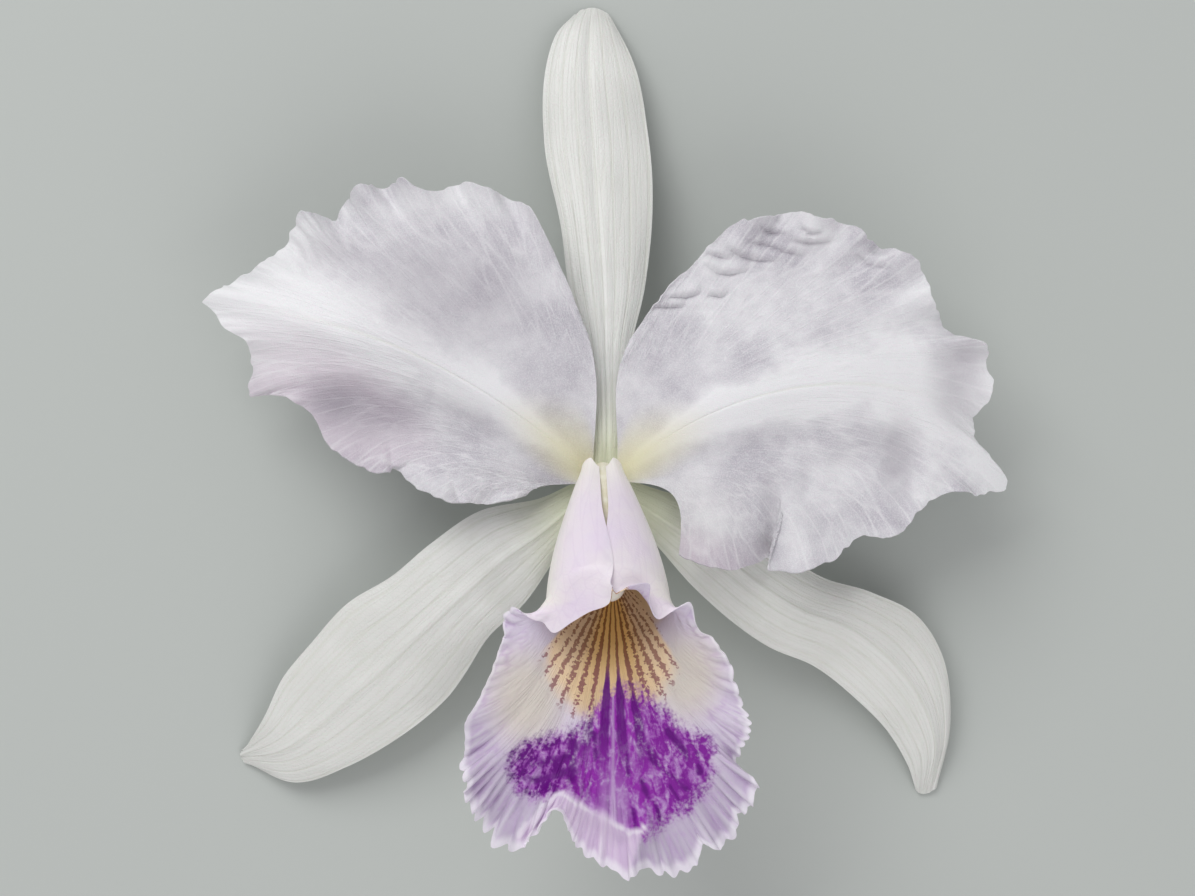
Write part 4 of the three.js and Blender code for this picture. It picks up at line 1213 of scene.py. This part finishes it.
bpy.ops.object.select_all(action="DESELECT")
bpy.ops.mesh.primitive_uv_sphere_add(segments=64, ring_count=40, radius=MM)
cap = bpy.context.object
bpy.ops.transform.resize(value=(CAP_RADIUS, CAP_RADIUS, CAP_HIGH))
bpy.ops.object.transform_apply(location=True, rotation=True, scale=True)
bpy.ops.object.mode_set(mode="EDIT")
bpy.ops.mesh.select_all(action="SELECT")
bpy.ops.mesh.bisect(plane_co=(0, 0, 0), plane_no=(0, 0, 1), clear_inner=True)
bpy.ops.object.mode_set(mode="OBJECT")
move_points(cap, cap_shape)
wall = cap.modifiers.new("wall", "SOLIDIFY")
wall.thickness = CAP_WALL * MM
wall.offset = -1
bpy.ops.object.modifier_apply(modifier=wall.name)
made_on_tip(cap, "anther_cap_shell")
cap.data.materials.append(wax_material("cap_wax", colour(248, 244, 232), WAX_CREAM, WAX_FLUSH))
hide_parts("anther_cap")
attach(cap, "root")

POLLEN = wax_material("pollen_wax", colour(238, 206, 92), colour(222, 184, 66), colour(240, 220, 130))
bpy.ops.object.select_all(action="DESELECT")
masses = []
for place in (-1.5, -0.5, 0.5, 1.5):
    middle = (place * POLLEN_APART * MM, 0, (POLLEN_SIZE[2] + POLLEN_ABOVE) * MM)
    bpy.ops.mesh.primitive_ico_sphere_add(subdivisions=4, radius=MM, location=middle)
    bpy.ops.transform.resize(value=POLLEN_SIZE)
    masses.append(bpy.context.object)
bpy.ops.mesh.primitive_cube_add(size=MM, location=(0, 0, POLLEN_STRAP[2] * MM))
bpy.ops.transform.resize(value=POLLEN_STRAP)
strap = bpy.context.object
bpy.ops.object.transform_apply(location=True, rotation=True, scale=True)
round_off = strap.modifiers.new("round_off", "BEVEL")
round_off.width = STRAP_ROUND * MM
round_off.segments = 3
bpy.ops.object.modifier_apply(modifier=round_off.name)
for piece in masses:
    piece.select_set(True)
pollen = bpy.context.object
bpy.ops.object.join()
bpy.ops.object.transform_apply(location=True, rotation=True, scale=True)
made_on_tip(pollen, "pollen_masses")
pollen.data.materials.append(POLLEN)
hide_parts("pollinia")
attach(pollen, "root")


# Ovary and stem
# One green stalk behind the bloom. Its upper length, the ovary, has six low ribs, and its flat top
# is the seat of all the leaves. It was cut off below, where the pale inside of the stem shows.

STEM_PATH = [
    [0, 0, -2.2], [0, 0, -3.5], [0, -0.3, -6.5], [0.3, -2.6, -11], [1.6, -9, -16.6], [4.6, -22, -21.2],
    [8.6, -38, -22.6], [13, -57, -22.6],
]
STEM_GRID = (220, 96)  # faces along the stalk and round it
SEAT = 3.4  # radius of the flat top
OVARY_RADIUS = 3.5
STEM_RADIUS = 2.2
RIBS = 6
RIB = 0.06  # how high they stand, as a share of the radius
STEM_CREASE = 0.012
STEM_COAT = 0.1


def stem_outline(t, angle):
    slim = OVARY_RADIUS + (STEM_RADIUS - OVARY_RADIUS) * ease(0.15, 0.6, t)
    girth = slim + (SEAT - slim) * (1 - ease(0.045, 0.09, t))
    ribs = RIB * ease(0.05, 0.15, t) * np.cos(RIBS * angle)
    creases = STEM_CREASE * lumps(24 * angle / (2 * np.pi), 30 * t, 401)
    radius = girth * (1 + ribs + creases)
    return radius * np.cos(angle), radius * np.sin(angle)


STEM_GREEN = colour(156, 182, 104)
STEM_DARK = colour(122, 152, 78)
STEM_PALE = colour(206, 214, 160)


def stem_material():
    material, tree, skin = new_material("stem_skin", 0.38, soft=0.1)
    skin.inputs["Coat Weight"].default_value = STEM_COAT
    along_it = across_and_along(tree)[1]
    surface = in_group(tree, TISSUE, Cells=3000.0, Patches=120.0)
    fibres = in_group(tree, VEINS, Count=40.0, Joins=4.0, Width=0.2, Wander=0.6)
    base = blend(span(surface["Patches"], 0.3, 0.7), STEM_DARK, STEM_GREEN)
    lined = blend(fibres["Veins"] * 0.3, base, STEM_DARK)
    top = blend(span(along_it, 0.02, 0.12, 0.8, 0.0), lined, STEM_PALE)
    join(top, skin.inputs["Base Color"])
    bump(skin, 0.08, fibres["Swell"] * 0.5 + surface["Cells"])
    return material


stem = swept("ovary_and_stem", STEM_PATH, stem_outline, *STEM_GRID)
stem.data.materials.append(stem_material())
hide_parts("ovary_pedicel")
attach(stem, "root")


# Floor, light and camera
# A plain pale floor, a large soft light from the upper left and a weaker one from the right. The
# camera looks straight down on the bloom, as the photograph looks at its face.

FLOOR_GREY = colour(188, 193, 188)
FLOOR_SIZE = 4.0  # metres, as the lights' places and sizes are
CAMERA_OVER = (-1.4, 5.05)
CAMERA_HIGH = 450
SENSOR = 36.0
PIXEL = 0.187  # at the height of the petals' base
PICTURE_WIDE = 1195  # in pixels
ROOM_TINT = (0.97, 0.95, 1.0, 1.0)
ROOM_LIGHT = 0.49

bpy.ops.object.select_all(action="DESELECT")
bpy.ops.mesh.primitive_plane_add(size=FLOOR_SIZE)
floor = bpy.context.object
floor.name = "floor"
floor_material, _, floor_skin = new_material("floor_card", 0.85)
floor_skin.inputs["Base Color"].default_value = FLOOR_GREY
floor.data.materials.append(floor_material)


def soft_light(name, place, size, watts):
    """A square light aimed at the bloom."""
    bpy.ops.object.light_add(type="AREA", location=place)
    light = bpy.context.object
    light.name = name
    light.data.size = size
    light.data.energy = watts
    light.rotation_euler = (-light.location).to_track_quat("-Z", "Y").to_euler()


soft_light("window", (-0.4, 0.62, 0.72), 0.7, 5.7)
soft_light("reflector", (0.25, -0.65, 0.55), 0.8, 2.1)
world = bpy.data.worlds.new("room")
bpy.context.scene.world = world
world.use_nodes = True
world.node_tree.nodes["Background"].inputs["Color"].default_value = ROOM_TINT
world.node_tree.nodes["Background"].inputs["Strength"].default_value = ROOM_LIGHT

bpy.ops.object.camera_add(
    location=(
        (CAMERA_OVER[0] + BLOOM_AT[0]) * MM,
        (CAMERA_OVER[1] + BLOOM_AT[1]) * MM,
        (CAMERA_HIGH + BLOOM_AT[2]) * MM,
    ),
    rotation=(0, 0, 0),
)
camera = bpy.context.object
camera.data.sensor_width = SENSOR
camera.data.lens = SENSOR * CAMERA_HIGH / (PIXEL * PICTURE_WIDE)
camera.data.clip_start = 0.01
bpy.context.scene.camera = camera
bpy.context.scene.view_settings.view_transform = "Standard"
